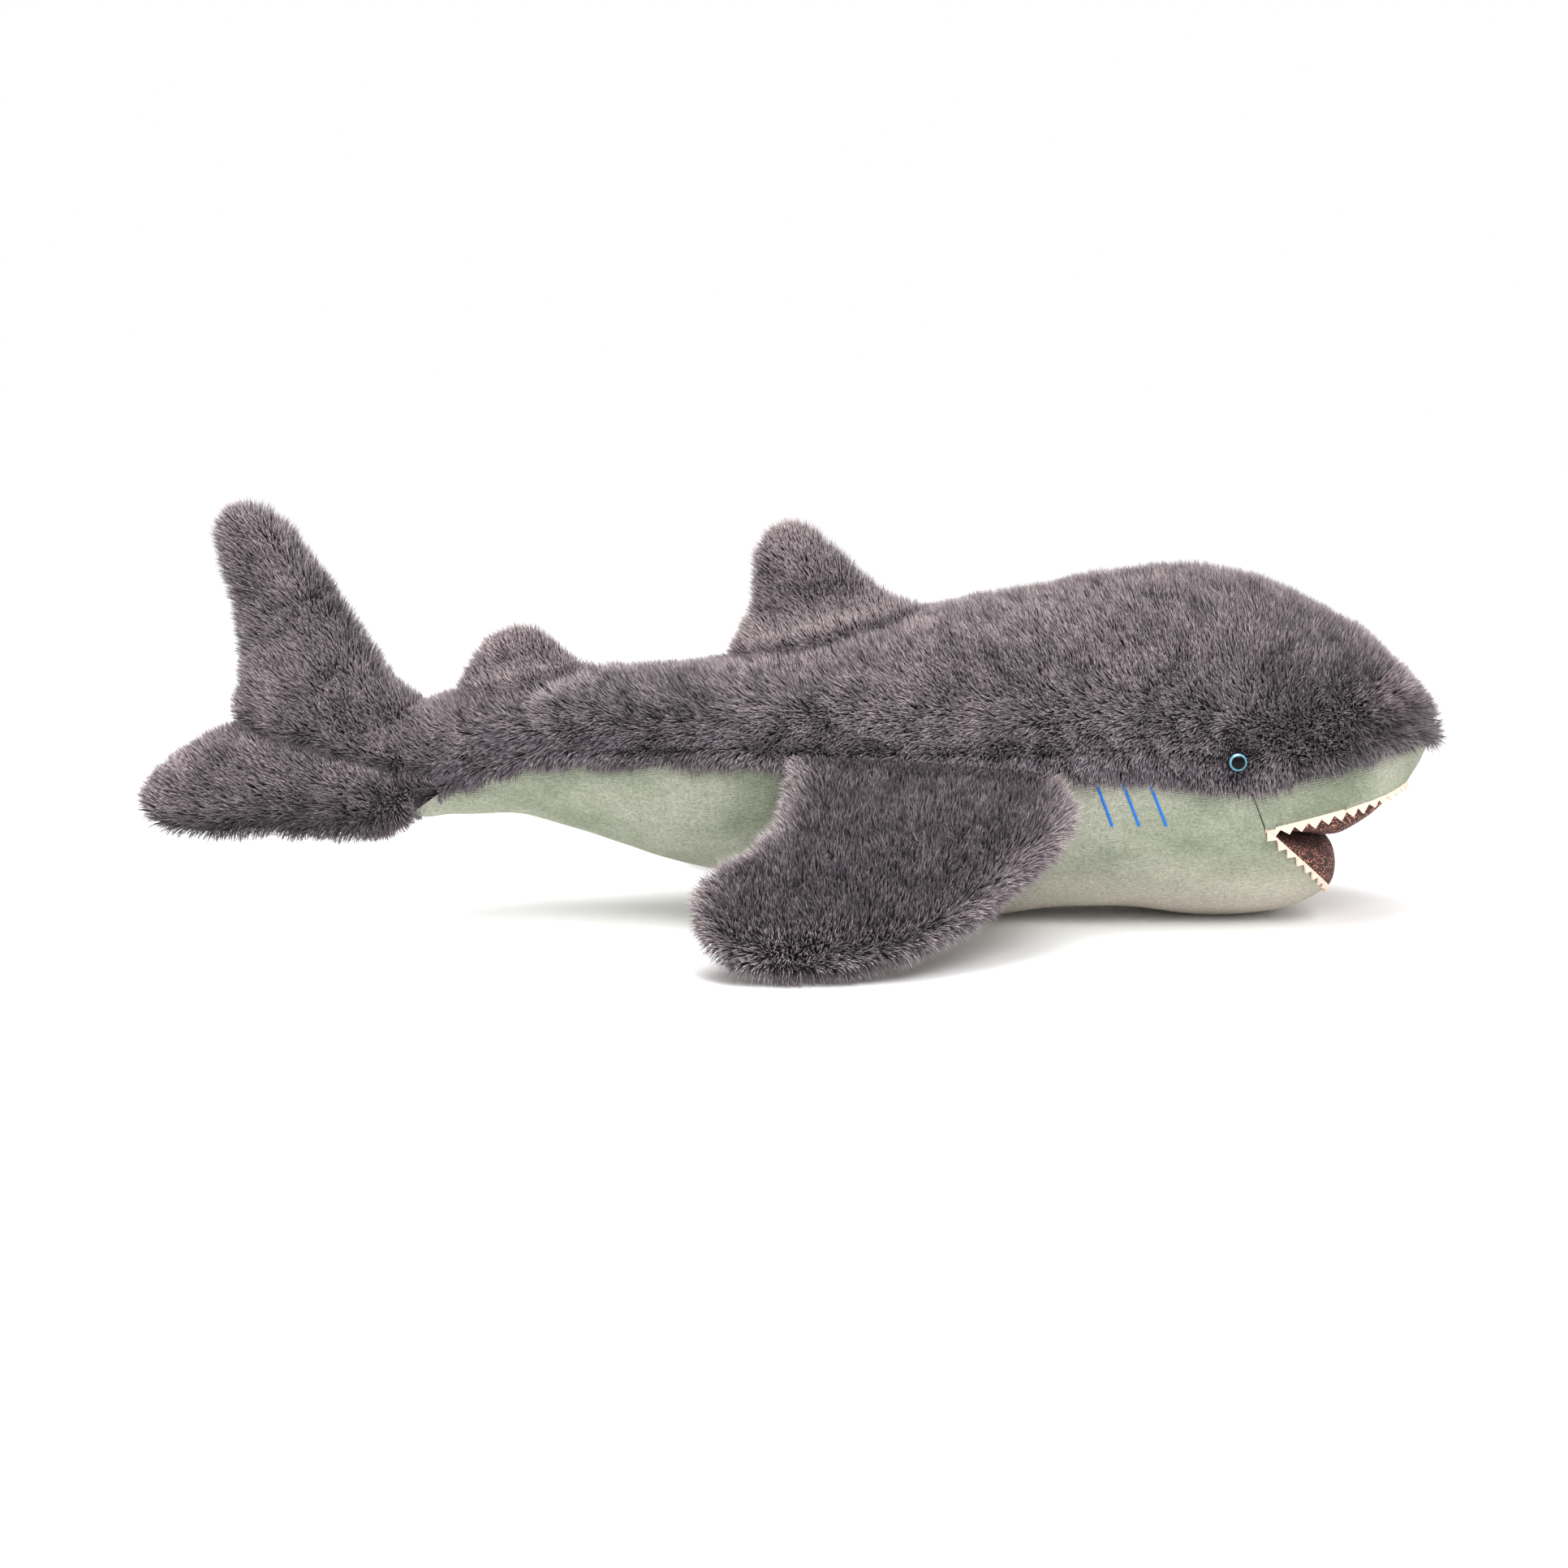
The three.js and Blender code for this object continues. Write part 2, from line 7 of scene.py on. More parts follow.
import logging
import math
from collections.abc import Callable, Sequence
from dataclasses import dataclass
from enum import Enum

import bmesh
import bpy
import numpy as np
from mathutils import Matrix, Vector, noise


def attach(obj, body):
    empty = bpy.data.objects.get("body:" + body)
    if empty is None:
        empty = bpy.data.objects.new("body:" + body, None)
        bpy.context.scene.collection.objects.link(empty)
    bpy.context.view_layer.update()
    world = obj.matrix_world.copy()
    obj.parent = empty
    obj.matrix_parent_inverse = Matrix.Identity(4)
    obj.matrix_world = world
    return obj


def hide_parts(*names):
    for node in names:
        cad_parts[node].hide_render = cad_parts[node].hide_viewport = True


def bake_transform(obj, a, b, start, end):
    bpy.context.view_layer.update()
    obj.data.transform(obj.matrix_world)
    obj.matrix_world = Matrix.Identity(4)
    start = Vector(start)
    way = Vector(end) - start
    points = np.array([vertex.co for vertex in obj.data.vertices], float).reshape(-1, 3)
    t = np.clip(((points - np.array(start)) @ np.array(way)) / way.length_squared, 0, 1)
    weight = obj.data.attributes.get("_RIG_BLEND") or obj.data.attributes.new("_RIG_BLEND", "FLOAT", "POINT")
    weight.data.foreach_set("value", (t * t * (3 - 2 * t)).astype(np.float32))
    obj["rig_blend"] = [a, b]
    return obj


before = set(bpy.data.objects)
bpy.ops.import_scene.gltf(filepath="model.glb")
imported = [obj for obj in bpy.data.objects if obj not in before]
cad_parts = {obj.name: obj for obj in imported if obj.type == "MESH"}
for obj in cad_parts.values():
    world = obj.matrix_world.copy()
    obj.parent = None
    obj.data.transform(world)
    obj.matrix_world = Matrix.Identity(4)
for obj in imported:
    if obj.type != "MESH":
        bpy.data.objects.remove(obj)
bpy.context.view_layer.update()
LOG = logging.getLogger("shark")
MM = 0.001
Stations = Sequence[tuple[float, float]]
Skin = bmesh.types.BMesh


class Body(Enum):
    """The moving bodies of the toy."""

    TRUNK = "body"
    JAW = "jaw"
    TAIL = "tail"
    TAIL_FIN = "tail_fin"
    DORSAL = "dorsal_fin"
    SECOND_DORSAL = "second_dorsal_fin"
    RIGHT = "pectoral_right"
    LEFT = "pectoral_left"


class Side(Enum):
    """The two sides of the toy, as the sign of Y."""

    RIGHT = -1
    LEFT = 1


# ---------------------------------------------------------------- lines and small mesh helpers
class Line:
    """A smooth line through stations given in millimetres."""

    def __init__(self, stations: Stations) -> None:
        """Keeps the stations in metres.

        Args:
            stations: (place, value) pairs in millimetres, with rising places.
        """
        points = np.array(stations, float) * MM
        self.x, self.y = points[:, 0], points[:, 1]
        step = np.diff(self.x)
        rise = np.diff(self.y) / step
        inner = (step[1:] * rise[:-1] + step[:-1] * rise[1:]) / (step[1:] + step[:-1])
        self.slope = np.concatenate([rise[:1], inner, rise[-1:]])

    def at(self, x: np.ndarray | float) -> np.ndarray:
        """The line's value at a place.

        Args:
            x: Places, in metres.

        Returns:
            The values, in metres.
        """
        x = np.clip(x, self.x[0], self.x[-1])
        i = np.clip(np.searchsorted(self.x, x, side="right") - 1, 0, len(self.x) - 2)
        h = self.x[i + 1] - self.x[i]
        t = (x - self.x[i]) / h
        return (
            (2 * t**3 - 3 * t**2 + 1) * self.y[i]
            + (t**3 - 2 * t**2 + t) * h * self.slope[i]
            + (3 * t**2 - 2 * t**3) * self.y[i + 1]
            + (t**3 - t**2) * h * self.slope[i + 1]
        )


def smoothstep(t: np.ndarray | float) -> np.ndarray:
    """A soft step from 0 to 1 as t goes from 0 to 1."""
    t = np.clip(t, 0, 1)
    return t * t * (3 - 2 * t)


def points_of(bm: Skin) -> np.ndarray:
    """The mesh's points as rows of x, y, z."""
    return np.array([v.co[:] for v in bm.verts], float).reshape(-1, 3)


def normals_of(bm: Skin) -> np.ndarray:
    """The mesh's point normals as rows of x, y, z."""
    bm.normal_update()
    return np.array([v.normal[:] for v in bm.verts], float).reshape(-1, 3)


def move(bm: Skin, points: np.ndarray) -> None:
    """Moves each point of the mesh to its row of points."""
    for v, p in zip(bm.verts, points, strict=True):
        v.co = p


def ball(columns: int, rows: int) -> Skin:
    """A unit ball with its poles on Z."""
    bm = bmesh.new()
    bmesh.ops.create_uvsphere(bm, u_segments=columns, v_segments=rows, radius=1)
    return bm


def keep_faces(bm: Skin, wanted: Callable[[Vector], bool]) -> None:
    """Deletes the faces whose centre isn't wanted."""
    gone = [f for f in bm.faces if not wanted(f.calc_center_median())]
    bmesh.ops.delete(bm, geom=gone, context="FACES")


def cut(
    bm: Skin,
    point: Sequence[float],
    normal: Sequence[float],
    reach: Callable[[Vector], bool] | None = None,
) -> None:
    """Cuts edges into the mesh along a plane, and removes nothing.

    Args:
        bm: The mesh.
        point: A point on the plane.
        normal: The plane's normal.
        reach: Which face centres the cut touches, or None for all.
    """
    faces = [f for f in bm.faces if reach is None or reach(f.calc_center_median())]
    geometry = list({v for f in faces for v in f.verts}) + list({e for f in faces for e in f.edges}) + faces
    bmesh.ops.bisect_plane(bm, geom=geometry, dist=1e-6, plane_co=point, plane_no=normal)


def piece(bm: Skin, name: str, materials: Sequence[bpy.types.Material], outward: bool = False) -> bpy.types.Object:
    """Turns a mesh into a named, smooth-shaded object and frees the mesh.

    Args:
        bm: The mesh.
        name: The piece's name.
        materials: Its materials, in slot order.
        outward: Whether to recalculate the normals of a closed mesh.

    Returns:
        The object, linked to the scene.
    """
    if outward:
        bmesh.ops.recalc_face_normals(bm, faces=bm.faces)
    for f in bm.faces:
        f.smooth = True
    mesh = bpy.data.meshes.new(name)
    bm.to_mesh(mesh)
    bm.free()
    for m in materials:
        mesh.materials.append(m)
    obj = bpy.data.objects.new(name, mesh)
    bpy.context.scene.collection.objects.link(obj)
    return obj


def applied(obj: bpy.types.Object) -> bpy.types.Object:
    """Applies all of an object's modifiers to its mesh."""
    bpy.context.view_layer.update()
    graph = bpy.context.evaluated_depsgraph_get()
    mesh = bpy.data.meshes.new_from_object(obj.evaluated_get(graph), depsgraph=graph)
    mesh.name = obj.name
    obj.modifiers.clear()
    obj.data = mesh
    return obj


def facing_out(bm: Skin) -> Skin:
    """Turns every face of a closed mesh over if they face in."""
    if bm.calc_volume(signed=True) < 0:
        bmesh.ops.reverse_faces(bm, faces=bm.faces)
    return bm


def wander(points: np.ndarray, scale: float, seed: float = 0.0) -> np.ndarray:
    """Smooth noise at each point, about -1 to 1.

    Args:
        points: Rows of x, y, z in metres.
        scale: Size of the noise's features, in metres.
        seed: Shifts the noise.

    Returns:
        One value for each point.
    """
    return np.array([noise.noise(Vector(p / scale) + Vector((seed, seed, seed))) for p in points])


# ---------------------------------------------------------------- finishes
def srgb(red: float, green: float, blue: float) -> tuple[float, float, float, float]:
    """A colour from 0 to 255 as linear values with alpha."""
    def line(c: float) -> float:
        c /= 255
        return c / 12.92 if c <= 0.04045 else ((c + 0.055) / 1.055) ** 2.4

    return (line(red), line(green), line(blue), 1.0)


class Shader:
    """Helps to wire one material's nodes."""

    def __init__(self, name: str) -> None:
        """Makes a new material with a Principled shader."""
        self.material = bpy.data.materials.new(name)
        self.material.use_nodes = True
        self.nodes = self.material.node_tree.nodes
        self.links = self.material.node_tree.links
        self.surface = self.nodes["Principled BSDF"]
        self.place = None

    def set(self, **values: object) -> "Shader":
        """Sets sockets of the Principled shader, with _ for spaces."""
        for key, value in values.items():
            self.surface.inputs[key.replace("_", " ")].default_value = value
        return self

    def node(self, kind: str, **values: object) -> bpy.types.Node:
        """Adds a node; values name its properties, or its inputs by number as i0, i1 and so on."""
        made = self.nodes.new(kind)
        for key, value in values.items():
            if key[0] == "i" and key[1:].isdigit():
                made.inputs[int(key[1:])].default_value = value
            else:
                setattr(made, key, value)
        return made

    def link(self, source: bpy.types.NodeSocket, target: bpy.types.NodeSocket) -> None:
        """Joins two sockets."""
        self.links.new(source, target)

    def where(self, stretch: tuple[float, float, float] = (1, 1, 1)) -> bpy.types.NodeSocket:
        """Object coordinates, stretched."""
        if self.place is None:
            self.place = self.node("ShaderNodeTexCoord").outputs["Object"]
        mapping = self.node("ShaderNodeMapping")
        mapping.inputs["Scale"].default_value = stretch
        self.link(self.place, mapping.inputs["Vector"])
        return mapping.outputs["Vector"]

    def noise(
        self, scale: float, detail: float = 2, stretch: tuple[float, float, float] = (1, 1, 1)
    ) -> bpy.types.NodeSocket:
        """A noise texture's value, with scale in cycles per metre."""
        made = self.node("ShaderNodeTexNoise")
        made.inputs["Scale"].default_value = scale
        made.inputs["Detail"].default_value = detail
        self.link(self.where(stretch), made.inputs["Vector"])
        return made.outputs["Fac"]

    def ramp(self, source: bpy.types.NodeSocket, stops: Sequence[tuple[float, tuple]]) -> bpy.types.NodeSocket:
        """A colour ramp through stops of (place, colour)."""
        made = self.node("ShaderNodeValToRGB")
        elements = made.color_ramp.elements
        while len(elements) < len(stops):
            elements.new(0.5)
        for element, (place, colour) in zip(elements, stops, strict=True):
            element.position = place
            element.color = colour
        self.link(source, made.inputs["Fac"])
        return made.outputs["Color"]

    def mix(
        self, amount: bpy.types.NodeSocket | float, a: object, b: object, blend: str = "MIX"
    ) -> bpy.types.NodeSocket:
        """Mixes two colours, given as sockets or values."""
        made = self.node("ShaderNodeMix", data_type="RGBA", blend_type=blend)
        for socket, value in ((made.inputs["Factor"], amount), (made.inputs[6], a), (made.inputs[7], b)):
            if isinstance(value, bpy.types.NodeSocket):
                self.link(value, socket)
            else:
                socket.default_value = value
        return made.outputs[2]

    def maths(self, operation: str, a: object, b: object = 0.0) -> bpy.types.NodeSocket:
        """One sum, with sockets or numbers."""
        made = self.node("ShaderNodeMath", operation=operation)
        for socket, value in zip(made.inputs[:2], (a, b), strict=True):
            if isinstance(value, bpy.types.NodeSocket):
                self.link(value, socket)
            else:
                socket.default_value = value
        return made.outputs[0]

    def bump(self, height: bpy.types.NodeSocket, distance: float, strength: float = 1.0) -> None:
        """Adds a bump of that depth in metres to the surface."""
        made = self.node("ShaderNodeBump")
        made.inputs["Distance"].default_value = distance
        made.inputs["Strength"].default_value = strength
        self.link(height, made.inputs["Height"])
        self.link(made.outputs["Normal"], self.surface.inputs["Normal"])


@dataclass(frozen=True)
class PlainFinish:
    """A finish with constant values only."""

    name: str
    colour: tuple[float, float, float]
    roughness: float = 0.8
    sheen: float = 0.0
    coat: float = 0.0
    metallic: float = 0.0
    specular: float = 0.3

    def make(self) -> bpy.types.Material:
        """The material."""
        shader = Shader(self.name).set(
            Base_Color=srgb(*self.colour), Roughness=self.roughness, Sheen_Weight=self.sheen,
            Coat_Weight=self.coat, Coat_Roughness=0.03, Metallic=self.metallic,
            Specular_IOR_Level=self.specular,
        )
        return shader.material


@dataclass(frozen=True)
class VelourFinish:
    """Short velour knit with fine rows, a soft nap and a sheen."""

    name: str = "sage velour"
    deep: tuple[float, float, float] = (134, 141, 121)
    plain: tuple[float, float, float] = (162, 167, 149)
    pale: tuple[float, float, float] = (186, 186, 171)
    # Painted light: a paler, pinker colour that stands for light thrown up from the white floor.
    painted_bounce: tuple[float, float, float] = (212, 201, 190)
    row: float = 0.0012

    def make(self) -> bpy.types.Material:
        """The material."""
        shader = Shader(self.name).set(Roughness=0.95, Sheen_Weight=0.12, Sheen_Roughness=0.5,
                                       Sheen_Tint=srgb(214, 216, 200), Specular_IOR_Level=0.08)
        nap = shader.noise(34, 4, (0.6, 1, 1))
        speckle = shader.noise(1000, 2)
        fleck = shader.noise(520, 3, (0.9, 1, 1.2))
        rows = shader.node("ShaderNodeTexWave", wave_type="BANDS", bands_direction="Z")
        rows.inputs["Scale"].default_value = 2 * math.pi / self.row / 20
        rows.inputs["Distortion"].default_value = 3.0
        rows.inputs["Detail Scale"].default_value = 1.2
        turned = shader.node("ShaderNodeMapping")
        turned.inputs["Rotation"].default_value = (0.0, 0.16, 0.0)
        shader.link(shader.where(), turned.inputs["Vector"])
        shader.link(turned.outputs["Vector"], rows.inputs["Vector"])
        ground = shader.ramp(nap, [(0.3, srgb(*self.deep)), (0.5, srgb(*self.plain)), (0.72, srgb(*self.pale))])
        # Painted light: the lowest 48 mm of velour is mixed towards the pale floor-bounce colour.
        height = shader.node("ShaderNodeSeparateXYZ")
        shader.link(shader.where(), height.inputs[0])
        low = shader.node("ShaderNodeMapRange", interpolation_type="SMOOTHSTEP")
        for number, value in ((1, 0.048), (2, 0.0), (3, 0.0), (4, 0.8)):
            low.inputs[number].default_value = value
        shader.link(height.outputs[2], low.inputs[0])
        ground = shader.mix(low.outputs[0], ground, srgb(*self.painted_bounce))
        both = shader.maths("ADD", shader.maths("MULTIPLY", speckle, 0.55), shader.maths("MULTIPLY", fleck, 0.45))
        stops = [(0.34, (0.62, 0.63, 0.61, 1)), (0.5, (0.97, 0.96, 0.97, 1)), (0.66, (1.26, 1.24, 1.25, 1))]
        grain = shader.ramp(both, stops)
        toned = shader.mix(0.85, ground, grain, "MULTIPLY")
        ribbed = shader.mix(shader.maths("MULTIPLY", rows.outputs["Fac"], 0.22), toned, srgb(104, 114, 92))
        shader.link(ribbed, shader.surface.inputs["Base Color"])
        rise = shader.maths("ADD", shader.maths("MULTIPLY", speckle, 0.7),
                            shader.maths("MULTIPLY", rows.outputs["Fac"], -0.4))
        shader.bump(rise, 0.0009, 0.9)
        return shader.material


@dataclass(frozen=True)
class SparkleKnitFinish:
    """Dark brown knit with copper metal threads."""

    name: str = "copper knit"
    dark: tuple[float, float, float] = (34, 20, 21)
    brown: tuple[float, float, float] = (86, 53, 48)
    copper: tuple[float, float, float] = (236, 160, 132)

    def make(self) -> bpy.types.Material:
        """The material."""
        shader = Shader(self.name).set(Specular_IOR_Level=0.4)
        stretch = (1.0, 1.5, 1.9)
        cells = shader.node("ShaderNodeTexVoronoi")
        cells.inputs["Scale"].default_value = 820
        warp = shader.node("ShaderNodeTexNoise")
        warped = shader.node("ShaderNodeVectorMath", operation="MULTIPLY_ADD")
        warp.inputs["Scale"].default_value = 150
        shader.link(shader.where(stretch), warp.inputs["Vector"])
        shader.link(warp.outputs["Color"], warped.inputs[0])
        warped.inputs[1].default_value = (0.0022, 0.0022, 0.0022)
        shader.link(shader.where(stretch), warped.inputs[2])
        shader.link(warped.outputs[0], cells.inputs["Vector"])
        split = shader.node("ShaderNodeSeparateColor")
        shader.link(cells.outputs["Color"], split.inputs[0])
        chosen = shader.maths("GREATER_THAN", split.outputs[0], 0.6)
        middle = shader.maths("LESS_THAN", cells.outputs["Distance"], 0.42)
        patches = shader.ramp(shader.noise(260, 2), [(0.3, (0, 0, 0, 1)), (0.5, (1, 1, 1, 1))])
        fleck = shader.maths("MULTIPLY", shader.maths("MULTIPLY", chosen, middle), patches)
        cloth = shader.ramp(shader.noise(620, 3, stretch), [(0.38, srgb(*self.dark)), (0.68, srgb(*self.brown))])
        shader.link(shader.mix(fleck, cloth, srgb(*self.copper)), shader.surface.inputs["Base Color"])
        shader.link(shader.maths("MULTIPLY", fleck, 0.75), shader.surface.inputs["Metallic"])
        shader.link(shader.maths("SUBTRACT", 0.85, shader.maths("MULTIPLY", fleck, 0.5)),
                    shader.surface.inputs["Roughness"])
        shader.bump(shader.maths("ADD", cells.outputs["Distance"], shader.noise(700, 2, stretch)), 0.0005, 0.7)
        return shader.material


@dataclass(frozen=True)
class FeltFinish:
    """Pressed felt with fine fibres."""

    name: str = "cream felt"
    shade: tuple[float, float, float] = (226, 190, 170)
    light: tuple[float, float, float] = (243, 216, 199)

    def make(self) -> bpy.types.Material:
        """The material."""
        shader = Shader(self.name).set(Roughness=0.95, Sheen_Weight=0.3, Specular_IOR_Level=0.1)
        fibres = shader.noise(900, 5)
        shader.link(shader.ramp(fibres, [(0.3, srgb(*self.shade)), (0.6, srgb(*self.light))]),
                    shader.surface.inputs["Base Color"])
        shader.bump(fibres, 0.0004, 0.6)
        return shader.material


@dataclass(frozen=True)
class PileTint:
    """One tint of the pile, from its root to its tip."""

    root: tuple[float, float, float]
    shaft: tuple[float, float, float]
    tip: tuple[float, float, float]

    def make(self, number: int) -> list[bpy.types.Material]:
        """The root, shaft and tip materials."""
        return [
            PlainFinish(f"pile {number} {part}", colour, 0.75, 0.25, specular=0.2).make()
            for part, colour in (("root", self.root), ("shaft", self.shaft), ("tip", self.tip))
        ]


# Each tint darkens to its root and pales to its tip. The dark roots are painted shade deep in the pile, and the pale
# tips are painted light shining through them. The five tints run from dark to pale for the scatter's tone to pick from.
TINTS = (
    PileTint((46, 40, 44), (84, 76, 82), (118, 108, 115)),
    PileTint((52, 46, 50), (99, 90, 96), (138, 128, 134)),
    PileTint((58, 51, 56), (115, 105, 111), (160, 149, 154)),
    PileTint((66, 58, 62), (132, 121, 126), (184, 171, 175)),
    PileTint((74, 65, 69), (149, 136, 140), (210, 196, 197)),
)


class Finishes:
    """Every material of the toy, made once."""

    def __init__(self) -> None:
        """Makes the materials."""
        self.velour = VelourFinish().make()
        self.knit = SparkleKnitFinish().make()
        self.felt = FeltFinish().make()
        # Painted shade: the pile backing is as dark as the shade deep in the pile, where it shows between the strands.
        self.backing = PlainFinish("pile backing", (44, 39, 43), 1.0, specular=0.1).make()
        self.thread = PlainFinish("blue thread", (0, 112, 210), 0.5, 0.1, specular=0.4).make()
        self.pupil = PlainFinish("eye black", (6, 6, 8), 0.05, specular=0.12).make()
        self.iris = PlainFinish("eye pearl", (112, 168, 190), 0.3, coat=0.6, metallic=0.35, specular=0.7).make()
        self.rim = PlainFinish("eye rim", (18, 34, 44), 0.15, coat=1.0, specular=0.6).make()
        self.floor = PlainFinish("studio floor", (255, 255, 255), 1.0, specular=0.0).make()


# ---------------------------------------------------------------- the pile
@dataclass(frozen=True)
class PileSize:
    """How thick, long and flat the pile is."""

    width: float = 0.54 * MM
    length: float = 9.6 * MM
    per_square_metre: float = 1.5e6
    rise: float = 0.66
    sweep: float = 0.74
    tuft: float = 1.05
    drift: float = 0.6
    stray: float = 0.17


class Pile:
    """Grows tapered strands on an emitter mesh that carries 'comb', 'reach' and 'cover' values."""

    def __init__(self, size: PileSize) -> None:
        """Makes the strand kinds and the scatter once.

        Args:
            size: Sizes of the pile.
        """
        self.size = size
        self.kinds = bpy.data.collections.new("strand kinds")
        for number, tint in enumerate(TINTS):
            materials = tint.make(number)
            for turn, bend in enumerate((-0.16, -0.28)):
                self._strand(f"strand_{number}_{turn}", bend, materials)
        self.tree = self._scatter()

    def _strand(self, name: str, bend: float, materials: Sequence[bpy.types.Material]) -> None:
        """Makes one strand: a ribbon of unit height that narrows to a point and bends over."""
        bm = bmesh.new()
        bmesh.ops.create_grid(bm, x_segments=1, y_segments=3, size=0.5)
        width = self.size.width
        points = points_of(bm)
        up = points[:, 1] + 0.5
        half = width / 2 * np.select([up < 0.2, up < 0.5, up < 0.9], [0.85, 1.0, 0.72], 0.0)
        move(bm, np.column_stack([np.sign(points[:, 0]) * half, bend * up**2, up]))
        bmesh.ops.remove_doubles(bm, verts=bm.verts, dist=width * 0.01)
        for f in bm.faces:
            f.material_index = min(2, int(f.calc_center_median().z * 3))
        obj = piece(bm, name, materials)
        bpy.context.scene.collection.objects.unlink(obj)
        self.kinds.objects.link(obj)

    def _scatter(self) -> bpy.types.NodeTree:
        """Builds the node group that plants the strands."""
        size = self.size
        tree = bpy.data.node_groups.new("plant strands", "GeometryNodeTree")
        tree.interface.new_socket("Geometry", in_out="INPUT", socket_type="NodeSocketGeometry")
        tree.interface.new_socket("Density", in_out="INPUT", socket_type="NodeSocketFloat")
        tree.interface.new_socket("Seed", in_out="INPUT", socket_type="NodeSocketInt")
        tree.interface.new_socket("Geometry", in_out="OUTPUT", socket_type="NodeSocketGeometry")

        def add(kind: str, **values: object) -> bpy.types.Node:
            """Adds a node and sets its properties."""
            made = tree.nodes.new(kind)
            for key, value in values.items():
                setattr(made, key, value)
            return made

        def feed(target: bpy.types.NodeSocket, value: object) -> None:
            """Links a socket or sets a value."""
            if isinstance(value, bpy.types.NodeSocket):
                tree.links.new(value, target)
            else:
                target.default_value = value

        def named(name: str, kind: str) -> bpy.types.NodeSocket:
            """A stored value of the emitter."""
            made = add("GeometryNodeInputNamedAttribute", data_type=kind)
            made.inputs["Name"].default_value = name
            return made.outputs["Attribute"]

        def vector(operation: str, a: object, b: object = None, scale: float | None = None) -> bpy.types.NodeSocket:
            """One vector sum."""
            made = add("ShaderNodeVectorMath", operation=operation)
            feed(made.inputs[0], a)
            if b is not None:
                feed(made.inputs[1], b)
            if scale is not None:
                feed(made.inputs["Scale"], scale)
            return made.outputs[0]

        def maths(operation: str, a: object, b: object = 0.0) -> bpy.types.NodeSocket:
            """One sum."""
            made = add("ShaderNodeMath", operation=operation)
            feed(made.inputs[0], a)
            feed(made.inputs[1], b)
            return made.outputs[0]

        def chance(kind: str, low: object, high: object, seed: int) -> bpy.types.NodeSocket:
            """A random value for each strand."""
            made = add("FunctionNodeRandomValue", data_type=kind)
            first = {"FLOAT_VECTOR": 0, "FLOAT": 2, "INT": 4}[kind]
            made.inputs[first].default_value, made.inputs[first + 1].default_value = low, high
            made.inputs["Seed"].default_value = seed
            return made.outputs[{"FLOAT_VECTOR": 0, "FLOAT": 1, "INT": 2}[kind]]

        def patchy(scale: float, detail: float = 2.0) -> bpy.types.Node:
            """Noise over the surface."""
            made = add("ShaderNodeTexNoise")
            made.inputs["Scale"].default_value = scale
            made.inputs["Detail"].default_value = detail
            feed(made.inputs["Vector"], add("GeometryNodeInputPosition").outputs[0])
            return made

        entry, exit_ = add("NodeGroupInput"), add("NodeGroupOutput")
        plant = add("GeometryNodeDistributePointsOnFaces", distribute_method="RANDOM")
        feed(plant.inputs["Mesh"], entry.outputs["Geometry"])
        feed(plant.inputs["Density"], maths("MULTIPLY", entry.outputs["Density"], named("cover", "FLOAT")))
        feed(plant.inputs["Seed"], entry.outputs["Seed"])
        normal = plant.outputs["Normal"]
        tufts = vector("SUBTRACT", patchy(105.0).outputs["Color"], (0.5, 0.5, 0.5))
        drift = vector("SUBTRACT", patchy(28.0).outputs["Color"], (0.5, 0.5, 0.5))
        lean = vector("ADD", vector("SCALE", normal, scale=size.rise),
                      vector("SCALE", named("comb", "FLOAT_VECTOR"), scale=size.sweep))
        lean = vector("ADD", lean, vector("SCALE", tufts, scale=size.tuft))
        lean = vector("ADD", lean, vector("SCALE", drift, scale=size.drift))
        lean = vector("ADD", lean, chance("FLOAT_VECTOR", (-size.stray,) * 3, (size.stray,) * 3, 3))
        lean = vector("NORMALIZE", lean)
        across = vector("CROSS_PRODUCT", lean, normal)
        across = vector("ADD", vector("NORMALIZE", across), chance("FLOAT_VECTOR", (-0.45,) * 3, (0.45,) * 3, 5))
        turn = add("FunctionNodeAxesToRotation", primary_axis="Z", secondary_axis="X")
        feed(turn.inputs["Primary Axis"], lean)
        feed(turn.inputs["Secondary Axis"], across)
        reach = maths("MULTIPLY", named("reach", "FLOAT"), chance("FLOAT", 0.72, 1.08, 7))
        reach = maths("MULTIPLY", reach, maths("ADD", 0.72, maths("MULTIPLY", patchy(60.0).outputs["Fac"], 0.56)))
        sizes = add("ShaderNodeCombineXYZ")
        feed(sizes.inputs[0], chance("FLOAT", 0.75, 1.25, 9))
        feed(sizes.inputs[1], reach)
        feed(sizes.inputs[2], reach)
        facing = add("ShaderNodeSeparateXYZ")
        feed(facing.inputs[0], normal)
